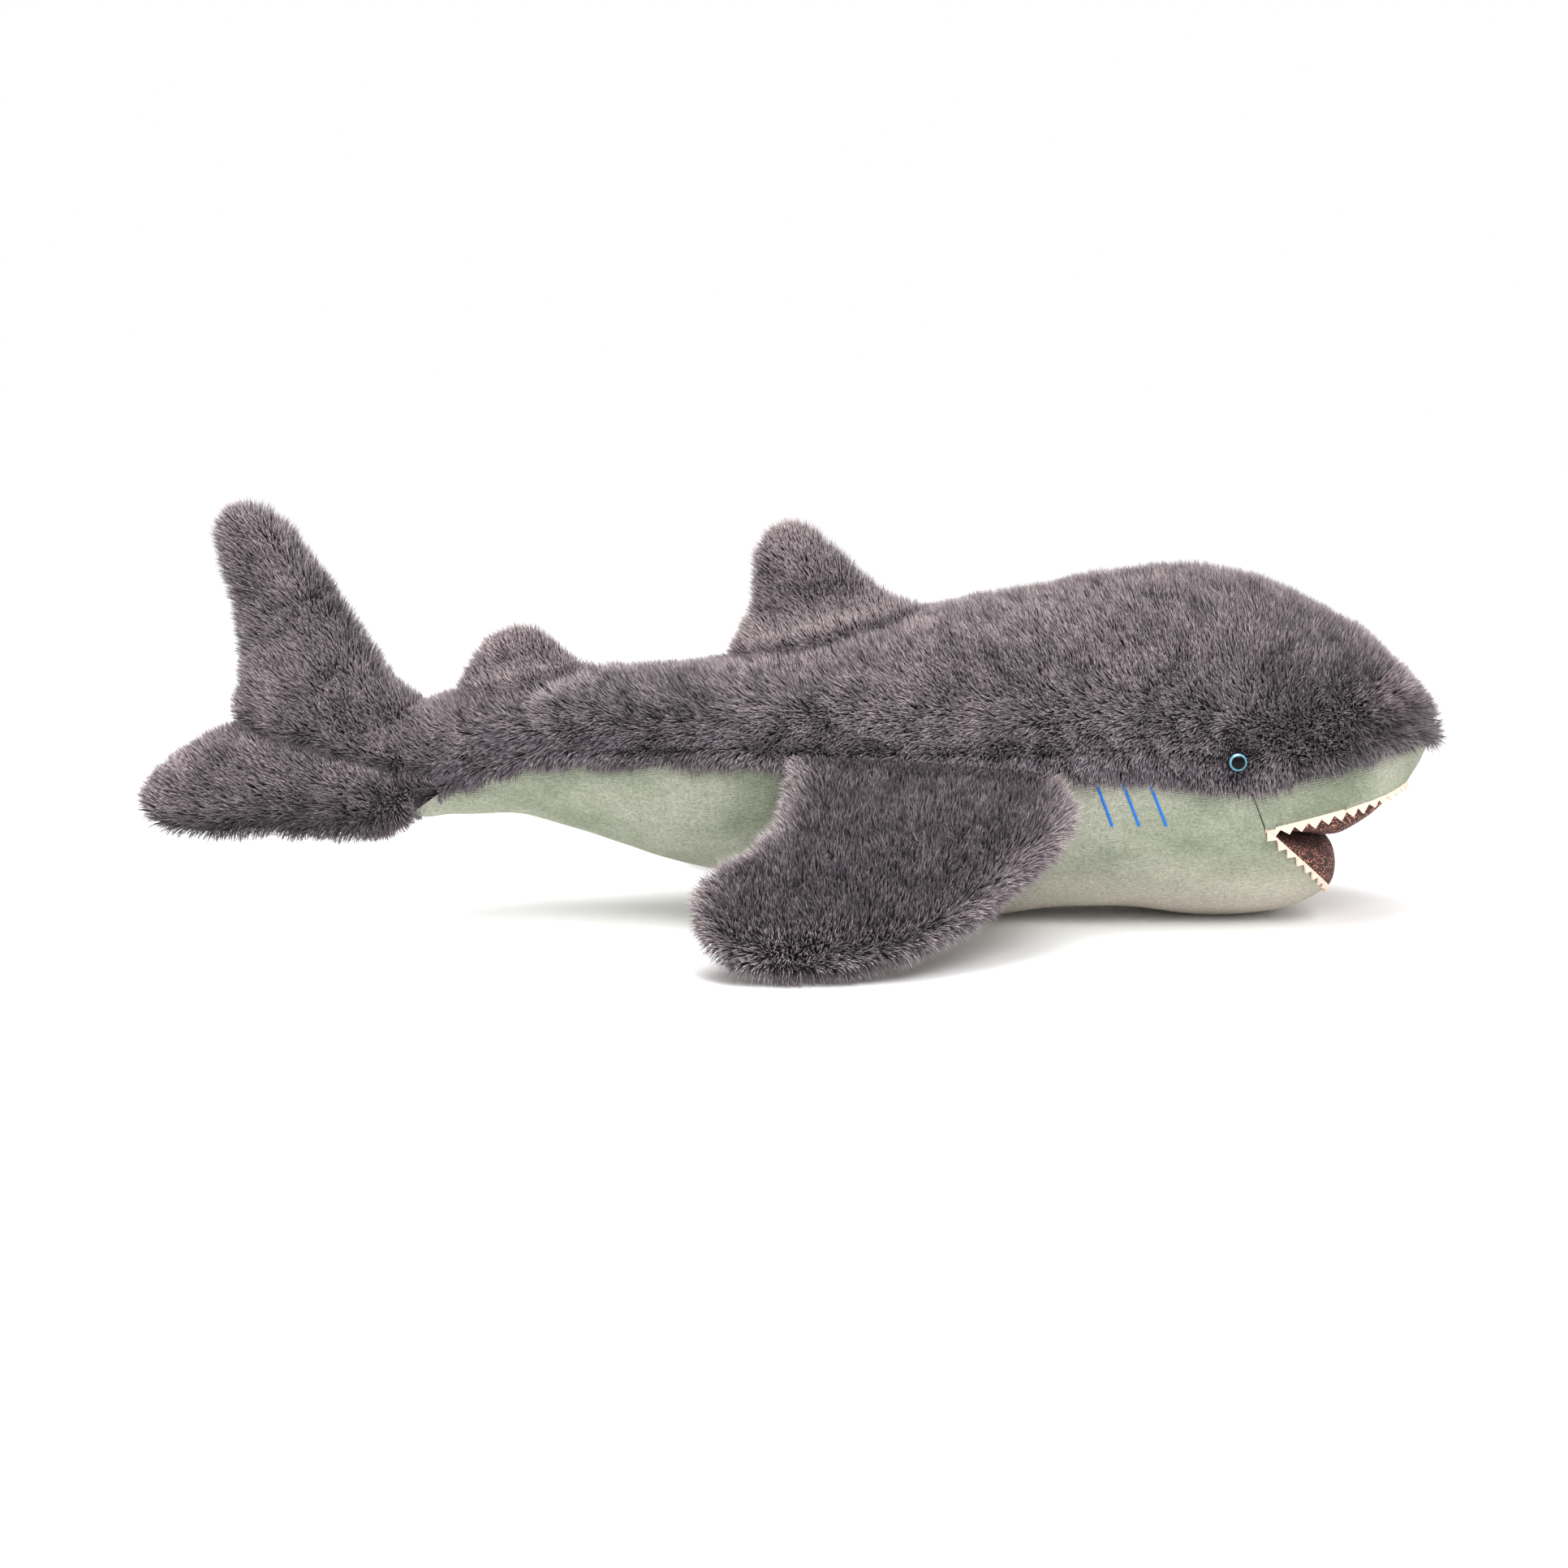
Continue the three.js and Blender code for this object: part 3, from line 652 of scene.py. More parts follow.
        # Tone picks each strand's tint. Noise patches and chance give random tone. The facing-up term is painted top
        # light, paler where the surface faces up. The 'light' values add painted light and shade.
        tone = maths("ADD", maths("MULTIPLY", patchy(75.0, 3.0).outputs["Fac"], 0.8), chance("FLOAT", -0.3, 0.36, 11))
        tone = maths("ADD", maths("ADD", tone, maths("MULTIPLY", facing.outputs[2], 0.24)), named("light", "FLOAT"))
        tone = maths("MULTIPLY", maths("MINIMUM", maths("MAXIMUM", tone, 0.0), 0.999), float(len(TINTS)))
        kind = maths("ADD", maths("MULTIPLY", maths("FLOOR", tone), 2.0), chance("INT", 0, 1, 13))
        kinds = add("GeometryNodeCollectionInfo")
        kinds.inputs["Collection"].default_value = self.kinds
        kinds.inputs["Separate Children"].default_value = True
        kinds.inputs["Reset Children"].default_value = True
        place = add("GeometryNodeInstanceOnPoints")
        feed(place.inputs["Points"], plant.outputs["Points"])
        feed(place.inputs["Instance"], kinds.outputs[0])
        place.inputs["Pick Instance"].default_value = True
        feed(place.inputs["Instance Index"], kind)
        feed(place.inputs["Rotation"], turn.outputs[0])
        feed(place.inputs["Scale"], sizes.outputs[0])
        real = add("GeometryNodeRealizeInstances")
        feed(real.inputs[0], place.outputs[0])
        feed(exit_.inputs[0], real.outputs[0])
        return tree

    def grow(
        self, emitter: bpy.types.Object, name: str, seed: int, keep: Callable[[Vector], bool] | None = None
    ) -> bpy.types.Object:
        """Grows strands on an emitter.

        Args:
            emitter: An object whose mesh carries the comb, reach and cover values.
            name: The new piece's name.
            seed: Sets the strands' places.
            keep: Which of the emitter's face centres to use, or None for all.

        Returns:
            The strands as one object.
        """
        bm = bmesh.new()
        bm.from_mesh(emitter.data)
        if keep is not None:
            keep_faces(bm, keep)
        mesh = bpy.data.meshes.new(name)
        bm.to_mesh(mesh)
        bm.free()
        obj = bpy.data.objects.new(name, mesh)
        bpy.context.scene.collection.objects.link(obj)
        planting = obj.modifiers.new("plant", "NODES")
        planting.node_group = self.tree
        inputs = [s.identifier for s in self.tree.interface.items_tree if s.in_out == "INPUT"]
        planting[inputs[1]] = self.size.per_square_metre * 1.0
        planting[inputs[2]] = seed
        applied(obj)
        helpers = ("comb", "reach", "cover", "light", "furry")
        for attribute in [a.name for a in obj.data.attributes if a.name in helpers]:
            obj.data.attributes.remove(obj.data.attributes[attribute])
        return obj


def set_pile(
    obj: bpy.types.Object,
    comb: np.ndarray,
    reach: np.ndarray,
    cover: np.ndarray,
    light: np.ndarray | float = 0.0,
) -> None:
    """Stores how the pile grows on an object's points.

    Args:
        obj: The object.
        comb: A direction for each point, in which the pile is swept.
        reach: The pile's length at each point, in metres.
        cover: How much of the full density grows at each point.
        light: How much paler the pile is at each point, from -1 to 1, as painted light and shade.
    """
    light = np.broadcast_to(light, reach.shape)
    for name, kind, values in (
        ("comb", "FLOAT_VECTOR", comb),
        ("reach", "FLOAT", reach),
        ("cover", "FLOAT", cover),
        ("light", "FLOAT", light),
    ):
        made = obj.data.attributes.get(name) or obj.data.attributes.new(name, kind, "POINT")
        made.data.foreach_set("vector" if kind == "FLOAT_VECTOR" else "value", values.astype(np.float32).ravel())


def mesh_points(obj: bpy.types.Object) -> tuple[np.ndarray, np.ndarray]:
    """An object's points and point normals as rows."""
    n = len(obj.data.vertices)
    points, normals = np.zeros(n * 3), np.zeros(n * 3)
    obj.data.vertices.foreach_get("co", points)
    obj.data.vertices.foreach_get("normal", normals)
    return points.reshape(-1, 3), normals.reshape(-1, 3)


# ---------------------------------------------------------------- torso
@dataclass(frozen=True)
class TorsoSize:
    """Stations of the torso, in millimetres along X."""

    tail_end: float = -234
    nose: float = 349
    back: Stations = ((-234, 115), (-186, 121), (-150, 128), (-114, 135), (-43, 140), (1, 149), (62, 164),
                      (114, 173), (186, 186), (221, 187), (257, 181), (296, 161), (318, 146), (335, 129),
                      (343, 118), (349, 107))
    belly: Stations = ((-234, 53), (-206, 55), (-170, 57), (-138, 55), (-116, 48), (-80, 36), (-26, 22), (10, 11),
                       (40, -1), (100, -1), (142, 4), (185, 3), (221, 0), (245, 0), (264, 2), (275, 6),
                       (285, 12), (299, 26), (318, 52), (335, 76), (343, 88), (349, 96))
    half_width: Stations = ((-234, 18), (-205, 21), (-170, 28), (-130, 37), (-80, 47), (-30, 57), (30, 64),
                            (90, 68), (150, 71), (210, 75), (257, 75), (290, 66), (318, 50), (337, 30), (349, 9))
    pile_edge: Stations = ((-206, 56), (-182, 70), (-153, 80), (-125, 87), (-86, 86), (-49, 89), (-4, 86),
                           (145, 81), (193, 79), (221, 74), (245, 76), (275, 82), (290, 87), (308, 91),
                           (320, 93.5), (337, 94), (349, 92))
    widest_at: float = 0.47
    columns: int = 48
    edge_column: int = 20
    rows: int = 170
    backing: float = 6.0
    fringe: float = 5.0


@dataclass(frozen=True)
class MouthSize:
    """The mouth's lines in the X Z plane, in millimetres and degrees."""

    corner: tuple[float, float] = (242, 55.5)
    upper: tuple[float, float] = (345, 78)
    lower: tuple[float, float] = (303, 3)
    seam_top: tuple[float, float] = (220, 110)
    fold: float = 2.6
    bend_start: float = 2.0
    bend_end: float = 45.0
    tooth_pitch: float = 7.6
    tooth: float = 3.9
    palate_bulge: float = 26.0
    jaw_bulge: float = 27.0
    palate_share: float = 0.83
    jaw_share: float = 1.0
    bite: float = -13.0


class Torso:
    """The torso's outer skin, and where it lies."""

    def __init__(self, size: TorsoSize, mouth: MouthSize) -> None:
        """Makes the lines.

        Args:
            size: The torso's stations.
            mouth: The mouth's lines.
        """
        self.size, self.mouth = size, mouth
        self.back, self.belly, self.width = Line(size.back), Line(size.belly), Line(size.half_width)
        self.edge = Line([(x, z + size.fringe * float(smoothstep((x + 214) / 40))) for x, z in size.pile_edge])

    def section(self, x: np.ndarray) -> tuple[np.ndarray, np.ndarray, np.ndarray, np.ndarray]:
        """Half width, middle height, rise and drop of the slice at x."""
        top, bottom = self.back.at(x), self.belly.at(x)
        middle = bottom + self.size.widest_at * (top - bottom)
        return self.width.at(x), middle, top - middle, middle - bottom

    def slice_point(self, x: np.ndarray, turn: np.ndarray) -> tuple[np.ndarray, np.ndarray]:
        """The point of a slice at a share of the half turn from belly to back.

        Args:
            x: Places along the torso.
            turn: 0 at the belly, edge_column / columns at the pile's edge and 1 at the back.

        Returns:
            The half breadth and the height there.
        """
        width, middle, rise, drop = self.section(x)
        above = np.clip((self.edge.at(x) - middle) / rise, 0, 1) ** (1 / 0.92)
        below = np.clip((middle - self.edge.at(x)) / drop, 0, 1) ** (1 / 0.78)
        at_edge = np.arcsin(above) - np.arcsin(below)
        share = self.size.edge_column / self.size.columns
        quarter = math.pi / 2
        angle = np.where(turn <= share, -quarter + (at_edge + quarter) * turn / share,
                         at_edge + (quarter - at_edge) * (turn - share) / (1 - share))
        up = np.sin(angle)
        y = width * np.abs(np.cos(angle)) ** 0.84
        z = middle + np.where(up > 0, rise * np.abs(up) ** 0.92, -drop * np.abs(up) ** 0.78)
        return y, np.maximum(z, 0)

    def breadth(self, x: float, z: float) -> float:
        """The half breadth of the outer skin at a place in the X Z plane, or 0 outside."""
        width, middle, rise, drop = (float(v) for v in self.section(np.array(x)))
        up = (z - middle) / rise if z > middle else (middle - z) / drop
        if up >= 1:
            return 0.0
        sine = max(up, 0.0) ** (1 / 0.92 if z > middle else 1 / 0.78)
        return width * max(1 - sine * sine, 0.0) ** 0.42

    def skin(self) -> Skin:
        """The whole skin as a ball drawn out along X, with one column on the pile's edge.

        Returns:
            A mesh whose 'furry' point values are 1 on the pile's backing and 0 on velour.
        """
        size = self.size
        bm = ball(size.columns * 2, size.rows)
        points = points_of(bm)
        share = 1 - np.arccos(np.clip(points[:, 2], -1, 1)) / math.pi
        around = np.abs(np.arctan2(points[:, 1], points[:, 0])) / math.pi
        around = np.round(around * size.columns) / size.columns
        side = np.where(points[:, 1] < 0, -1, 1)
        x = (size.tail_end + (size.nose - size.tail_end) * np.sin(share * math.pi / 2)) * MM
        y, z = self.slice_point(x, around)
        pole = (share < 1e-6) | (share > 1 - 1e-6)
        middle = self.section(x)[1]
        y, z = np.where(pole, 0, y), np.where(pole, middle, z)
        move(bm, np.column_stack([x, side * y, z]))
        furry = bm.verts.layers.float.new("furry")
        edge = size.edge_column / size.columns
        past = smoothstep((around - edge) * size.columns / 3)
        for v, value in zip(bm.verts, past, strict=True):
            v[furry] = value
        return facing_out(bm)

    def is_pile(self, centre: Vector) -> bool:
        """Whether a face centre lies above the pile's edge."""
        return centre.z > float(self.edge.at(centre.x)) - 0.2 * MM

    def relax(self, bm: Skin) -> None:
        """Sinks the backing under its pile, dents the seams and puckers the velour."""
        furry = bm.verts.layers.float["furry"]
        points, normals = points_of(bm), normals_of(bm)
        depth = np.array([v[furry] for v in bm.verts]) * self.size.backing * MM
        under = self.edge.at(points[:, 0]) - points[:, 2]
        velour = depth < 1e-9
        tuck = np.where(velour, 2.2 * MM * np.exp(-np.maximum(under, 0) / (5 * MM)), 0)
        fold = wander(points * np.array([1, 0.5, 0.25]), 17 * MM) * np.exp(-np.maximum(under, 0) / (30 * MM)) * 2.4 * MM
        soft = wander(points, 42 * MM, 7.0) * 1.6 * MM
        calm = smoothstep((np.hypot(points[:, 0] - 0.245, points[:, 2] - 0.06) - 8 * MM) / (20 * MM))
        for tip in (self.mouth.upper, self.mouth.lower):
            run = np.array(tip) - np.array(self.mouth.corner)
            square = np.array([-run[1], run[0]]) / np.hypot(*run)
            away = (points[:, [0, 2]] - np.array(self.mouth.corner) * MM) @ square
            calm = np.where(points[:, 0] > 0.24, calm * smoothstep((np.abs(away) - 2 * MM) / (14 * MM)), calm)
        fold, soft = fold * calm, soft * calm
        depth = depth + tuck + np.where(velour, fold + soft, soft * 1.2) + self.crease(points) * 5 * MM
        slope = 0.62 + 0.38 * smoothstep(-under / (26 * MM))
        depth = np.where(velour, depth, depth * slope)
        moved = points - normals * depth[:, None]
        moved[:, 2] = np.maximum(moved[:, 2], 0)
        move(bm, moved)

    def crease(self, points: np.ndarray) -> np.ndarray:
        """How deep the seam between the tail lobes is at each point, from 0 to 1."""
        line = Line(CREASE)
        near = np.exp(-(((points[:, 2] - line.at(points[:, 0])) / (4.5 * MM)) ** 2))
        fade = smoothstep((-150 * MM - points[:, 0]) / (30 * MM)) * smoothstep((points[:, 0] + 336 * MM) / (12 * MM))
        return near * fade


CREASE: Stations = ((-330, 116), (-305, 109), (-279, 99), (-257, 92), (-232, 85), (-206, 79), (-150, 73))
NAP = np.array([-0.6, 0.0, 0.78])


def comb_along(normals: np.ndarray, nap: np.ndarray) -> np.ndarray:
    """The nap laid along the surface.

    Args:
        normals: Point normals.
        nap: The nap's direction, one row or one for each point.

    Returns:
        A direction for each point, in the surface and at most 1 long.
    """
    nap = np.broadcast_to(nap, normals.shape)
    return nap - normals * np.sum(nap * normals, axis=1, keepdims=True)


def fold_in(bm: Skin, chosen: Callable[[Vector], bool], depth: float, back: float = 0.35 * MM) -> None:
    """Turns a cut edge of cloth inwards, as a sewn seam is.

    Args:
        bm: An open mesh with outward normals.
        chosen: Which points of its boundary turn in.
        depth: How far the fold goes in.
        back: How far the edge first draws back along the cloth.
    """
    bm.normal_update()
    sample = bm.faces[:][len(bm.faces) // 2]
    was = sample.normal.copy()
    edges = [e for e in bm.edges if e.is_boundary and all(chosen(v.co) for v in e.verts)]
    inward = {}
    for e in edges:
        face = e.link_faces[0]
        away = face.calc_center_median() - (e.verts[0].co + e.verts[1].co) / 2
        for v in e.verts:
            inward.setdefault(v, Vector())
            inward[v] += away.normalized()
    normal = {v: v.normal.copy() for v in inward}
    made = bmesh.ops.extrude_edge_only(bm, edges=edges)["geom"]
    new = {v for v in made if isinstance(v, bmesh.types.BMVert)}
    where = {tuple(round(c, 7) for c in v.co): v for v in inward}
    for v in new:
        old = where[tuple(round(c, 7) for c in v.co)]
        v.co = old.co - normal[old] * depth + inward[old].normalized() * back * 1.5
    for v in inward:
        v.co += inward[v].normalized() * back - normal[v] * back
    bmesh.ops.recalc_face_normals(bm, faces=bm.faces)
    bm.normal_update()
    if sample.normal.dot(was) < 0:
        bmesh.ops.reverse_faces(bm, faces=bm.faces)


class Trunk:
    """The head, belly and tail skins, with their pile."""

    HEAD_FROM, REAR_TO, REAR_FROM, VELOUR_TO = 70 * MM, -190 * MM, -176 * MM, -205 * MM
    # How the nap turns: its angle at the lower edge and the turn above it, in degrees, and the
    # height over the edge where the turn starts and how far it takes, in millimetres.
    NAP_EDGE, NAP_TURN = 255, 125
    NAP_FROM, NAP_OVER = -4, 62

    def __init__(self, torso: Torso, finishes: Finishes, pile: Pile) -> None:
        """Keeps what it builds with."""
        self.torso, self.finishes, self.pile = torso, finishes, pile
        mouth = torso.mouth
        self.corner = Vector((mouth.corner[0], 0, mouth.corner[1])) * MM
        self.upper = Vector((mouth.upper[0] - mouth.corner[0], 0, mouth.upper[1] - mouth.corner[1])).normalized()
        self.lower = Vector((mouth.lower[0] - mouth.corner[0], 0, mouth.lower[1] - mouth.corner[1])).normalized()
        self.seam = Vector((mouth.corner[0] - mouth.seam_top[0], 0, mouth.corner[1] - mouth.seam_top[1])).normalized()
        bend = Vector((math.cos(math.radians(50)), 0, -math.sin(math.radians(50))))
        self.jaw_bend = (self.corner + bend * mouth.bend_start * MM, self.corner + bend * mouth.bend_end * MM)

    @staticmethod
    def square_to(direction: Vector) -> Vector:
        """The normal of a line in the X Z plane, turned up or forward."""
        return Vector((-direction.z, 0, direction.x)).normalized()

    def ahead(self, p: Vector) -> bool:
        """Whether a place lies ahead of the muzzle seam and the lower lip."""
        line = self.seam if p.z > self.corner.z else self.lower
        return (p - self.corner).dot(self.square_to(line)) > 0

    def over_lip(self, p: Vector) -> bool:
        """Whether a place lies over the upper lip's line."""
        return (p - self.corner).dot(self.square_to(self.upper)) > 0

    def whole(self) -> Skin:
        """The torso's skin with all its seams cut into it."""
        bm = self.torso.skin()
        front = lambda p: p.x > 200 * MM and p.z < 125 * MM
        cut(bm, self.corner, self.square_to(self.upper), front)
        cut(
            bm,
            self.corner,
            self.square_to(self.seam),
            lambda p: front(p) and p.z > 55 * MM and not self.torso.is_pile(p),
        )
        cut(bm, self.corner, self.square_to(self.lower), lambda p: front(p) and p.z < 62 * MM)
        for x in (self.HEAD_FROM, self.REAR_TO, self.VELOUR_TO):
            cut(bm, (x, 0, 0), (1, 0, 0))
        return bm

    def region(self, wanted: Callable[[Vector], bool]) -> Skin:
        """A part of the torso's skin, with its seams and puckers."""
        bm = self.whole()
        keep_faces(bm, wanted)
        self.torso.relax(bm)
        return bm

    @staticmethod
    def between(low: float, high: float) -> Callable[[Vector], bool]:
        """A test for the places from low up to high along the body, in millimetres."""
        return lambda p: low * MM <= p.x < high * MM

    def comb(self, obj: bpy.types.Object) -> None:
        """Sets the pile on a backing of the torso: hanging at its lower edge, leaning back above."""
        points, normals = mesh_points(obj)
        over = points[:, 2] - self.torso.edge.at(points[:, 0])
        fringe = np.exp(-np.maximum(over, 0) / (9 * MM))
        ragged = wander(points, 13 * MM, 9.0)
        risen = smoothstep((over - self.NAP_FROM * MM) / (self.NAP_OVER * MM))
        turn = np.radians(
            self.NAP_EDGE - self.NAP_TURN * risen + 18 * wander(points, 40 * MM, 6.0) + 45 * fringe * ragged
        )
        nap = np.column_stack([np.cos(turn), np.zeros(len(turn)), np.sin(turn)])
        nap = comb_along(normals, nap) * 0.85 + fringe[:, None] * np.array([0, 0, -0.35])
        for fin in (DORSAL, SECOND_DORSAL):
            low, high = fin.root[0][0] * MM, fin.root[1][0] * MM + 0.6 * fin.flare * MM
            beside = np.exp(-(((np.abs(points[:, 1]) - (fin.root_radius + fin.flare) * MM) / (9 * MM)) ** 2))
            ahead = smoothstep((high + 6 * MM - points[:, 0]) / (8 * MM))
            beside *= smoothstep((points[:, 0] - low + 6 * MM) / (8 * MM)) * ahead * (normals[:, 2] > 0.2)
            nap = nap * (1 - 0.75 * beside[:, None])
            nap[:, 1] -= 0.5 * beside * np.sign(points[:, 1])
        nose = smoothstep((points[:, 0] - 318 * MM) / (20 * MM))
        edging = fringe * (0.12 + 0.5 * ragged + 0.35 * nose)
        reach = self.pile.size.length * (1 + 0.1 * wander(points, 25 * MM, 3.0) + edging)
        reach *= 1 - 0.45 * self.torso.crease(points)
        cover = np.ones(len(points)) + 0.5 * fringe
        for side in Side:
            eye = np.array([EyeSize.x, 0, EyeSize.z]) * MM
            eye[1] = side.value * self.torso.breadth(eye[0], eye[2])
            offset = points - eye
            away = np.hypot(offset[:, 0], offset[:, 2]) + 10 * (points[:, 1] * side.value < 0)
            over_eye = np.exp(-((offset[:, 0] / (7 * MM)) ** 2)) * smoothstep(offset[:, 2] / (3 * MM))
            over_eye *= smoothstep((22 * MM - offset[:, 2]) / (8 * MM))
            reach *= 0.4 + 0.6 * smoothstep((away - 5 * MM) / (12 * MM))
            reach *= 1 - 0.45 * over_eye * (away < 1)
            cover *= smoothstep((away - 5.0 * MM) / (2.0 * MM))
        # Painted shade: the pile is darker in the band just over its lower edge, where the side turns under. It is also
        # darker towards the tail.
        light = 0.06 - 0.16 * smoothstep((34 * MM - over) / (30 * MM)) - 0.1 * smoothstep(-points[:, 0] / (60 * MM))
        set_pile(obj, nap, reach, cover, light)

    def build(self) -> list[bpy.types.Object]:
        """Builds every skin and pile piece of the trunk.

        Returns:
            The pieces.
        """
        torso, f = self.torso, self.finishes
        made = []
        head = self.region(lambda p: p.x > self.HEAD_FROM and torso.is_pile(p))
        head = piece(head, "head_backing", [f.backing])
        self.comb(head)
        slices = [(70, 128), (128, 178), (178, 224), (224, 268), (268, 350)]
        for number, (low, high) in enumerate(slices):
            grown = self.pile.grow(head, f"back_pile_{number + 1}", number, self.between(low, high))
            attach(grown, Body.TRUNK.value)
            made.append(grown)
        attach(head, Body.TRUNK.value)
        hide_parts("back_fur_cover", "body_stuffing")

        muzzle = self.region(lambda p: not torso.is_pile(p) and p.x > 200 * MM and self.ahead(p) and self.over_lip(p))
        fold_in(muzzle, lambda p: not torso.is_pile(p + Vector((0, 0, 3 * MM))), torso.mouth.fold * MM)
        muzzle = piece(muzzle, "muzzle_velour", [f.velour])
        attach(muzzle, Body.TRUNK.value)
        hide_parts("muzzle_cover")

        throat = self.region(lambda p: not torso.is_pile(p) and p.x > self.HEAD_FROM and not self.ahead(p))
        below = Vector((0, 0, 3 * MM))
        fold_in(throat, lambda p: p.x > 215 * MM and not torso.is_pile(p + below), torso.mouth.fold * MM)
        throat = piece(throat, "belly_and_jaw_velour", [f.velour])
        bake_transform(throat, Body.TRUNK.value, Body.JAW.value, *self.jaw_bend)
        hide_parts("belly_cover", "jaw_cover", "jaw_stuffing")

        middle = self.region(lambda p: self.REAR_TO < p.x < self.HEAD_FROM and torso.is_pile(p))
        middle = piece(middle, "tail_backing", [f.backing])
        self.comb(middle)
        bend = ((-40 * MM, 0, 0.09), (-116 * MM, 0, 0.09))
        for number, (low, high) in enumerate([(-191, -70), (-70, 12), (12, 71)]):
            grown = self.pile.grow(middle, f"tail_pile_{number + 1}", 10 + number, self.between(low, high))
            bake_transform(grown, Body.TRUNK.value, Body.TAIL.value, *bend)
            made.append(grown)
        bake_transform(middle, Body.TRUNK.value, Body.TAIL.value, *bend)
        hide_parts("tail_fur_cover", "tail_stuffing")
        rear_belly = piece(self.region(lambda p: self.VELOUR_TO < p.x < self.HEAD_FROM and not torso.is_pile(p)),
                           "tail_belly_velour", [f.velour])
        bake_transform(rear_belly, Body.TRUNK.value, Body.TAIL.value, *bend)
        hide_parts("tail_belly_cover")
        return [*made, head, muzzle, throat, middle, rear_belly]


# ---------------------------------------------------------------- fins
@dataclass(frozen=True)
class FinSize:
    """A fin's outline from its root line outwards, in millimetres."""

    root: tuple[tuple[float, float, float], tuple[float, float, float]]
    towards: tuple[float, float, float]
    length: float
    root_radius: float
    trailing: Stations
    leading: Stations
    thickness: Stations
    flare: float = 0


DORSAL = FinSize(((-31, 0, 141), (61, 0, 163)), (0, 0, 1), 61, 7.5,
                 ((0, 2), (18, 13), (33, 18.5), (48, 24), (56, 31), (61, 38)),
                 ((0, 93), (13, 83), (27, 75), (42, 66), (54, 56), (61, 47)),
                 ((0, 7.5), (8, 9), (25, 13), (45, 11.5), (56, 8), (61, 4)), 12)
SECOND_DORSAL = FinSize(((-177, 0, 121), (-115, 0, 134)), (0, 0, 1), 27, 6,
                        ((0, 1), (9, 6), (18, 14), (24, 24), (27, 31)),
                        ((0, 62), (8, 58), (16, 53), (23, 45), (27, 36)),
                        ((0, 6), (6, 6.4), (14, 9), (22, 8), (27, 4)), 7)
DROOP = math.radians(39.5)
PECTORAL = FinSize(((5, -70, 90), (140, -77, 81)), (0, -math.cos(DROOP), -math.sin(DROOP)), 134, 8,
                   ((0, -12), (20, -11), (37, -13), (53, -20), (68, -33), (79, -46), (87, -51), (102, -52), (118, -45),
                    (129, -30), (134, -12)),
                   ((0, 131), (18, 135), (29, 133), (44, 125), (58, 115), (74, 101), (91, 86), (108, 64),
                    (121, 40), (129, 17), (134, -2)),
                   ((0, 8), (10, 8.5), (35, 12.5), (80, 13), (118, 9.5), (134, 3.5)))


class Fin:
    """A flat stuffed fin: a puffed ball drawn to the fin's outline."""

    def __init__(self, size: FinSize, inset: float, columns: int = 56, rows: int = 44) -> None:
        """Sets the fin's own frame at its root line.

        Args:
            size: The outline.
            inset: How far the cloth lies inside the tips of the pile, in metres.
            columns: Points round each slice.
            rows: Slices.
        """
        self.size, self.inset, self.columns, self.rows = size, inset, columns, rows
        self.start, end = Vector(size.root[0]) * MM, Vector(size.root[1]) * MM
        self.chord = (end - self.start).normalized()
        self.across = self.chord.cross(Vector(size.towards)).normalized()
        self.span = self.across.cross(self.chord).normalized()

    def shape(self) -> tuple[Skin, np.ndarray]:
        """The closed fin at its place.

        Returns:
            The mesh, and for each point its chord, span and thickness places as shares from -1 to 1.
        """
        size = self.size
        bm = ball(self.columns, self.rows)
        unit = points_of(bm)
        along = 1 - np.arccos(np.clip(unit[:, 2], -1, 1)) / math.pi
        low, high = -0.9 * size.root_radius * MM, size.length * MM - self.inset
        span = low + (high - low) * (1 - np.cos(along * math.pi)) / 2
        r = np.hypot(unit[:, 0], unit[:, 1])
        tip = np.clip((1 - along) / 0.09, 0, 1)
        towards_tip = np.sqrt(np.maximum(1 - (1 - tip) ** 2, 0))
        from_root = np.sqrt(np.clip(1 - (1 - np.clip(along / 0.08, 0, 1)) ** 2, 0, 1))
        full = np.where(along > 0.5, towards_tip, from_root)
        angle = np.arctan2(unit[:, 1], unit[:, 0])
        pole = r < 1e-6
        flare = np.exp(-np.maximum(span, 0) / (9 * MM)) * size.flare * MM
        trailing, leading = Line(size.trailing).at(span) - flare * 0.4, Line(size.leading).at(span) + flare
        half = np.maximum((leading - trailing) / 2 - self.inset, 2 * MM) * full
        thick = np.maximum(Line(size.thickness).at(span) + flare * 1.5 - self.inset, 2.2 * MM) * full
        puff = 1 - 0.06 * np.cos(3 * angle) ** 2
        c = np.where(pole, 0, np.sign(np.cos(angle)) * np.abs(np.cos(angle)) ** 0.9)
        t = np.where(pole, 0, np.sign(np.sin(angle)) * np.abs(np.sin(angle)) ** 0.8)
        chord = (leading + trailing) / 2 + half * c
        flat = np.outer(chord, self.chord) + np.outer(span, self.span) + np.outer(thick * t * puff, self.across)
        move(bm, flat + np.array(self.start))
        facing_out(bm)
        return bm, np.column_stack([c, span, t])


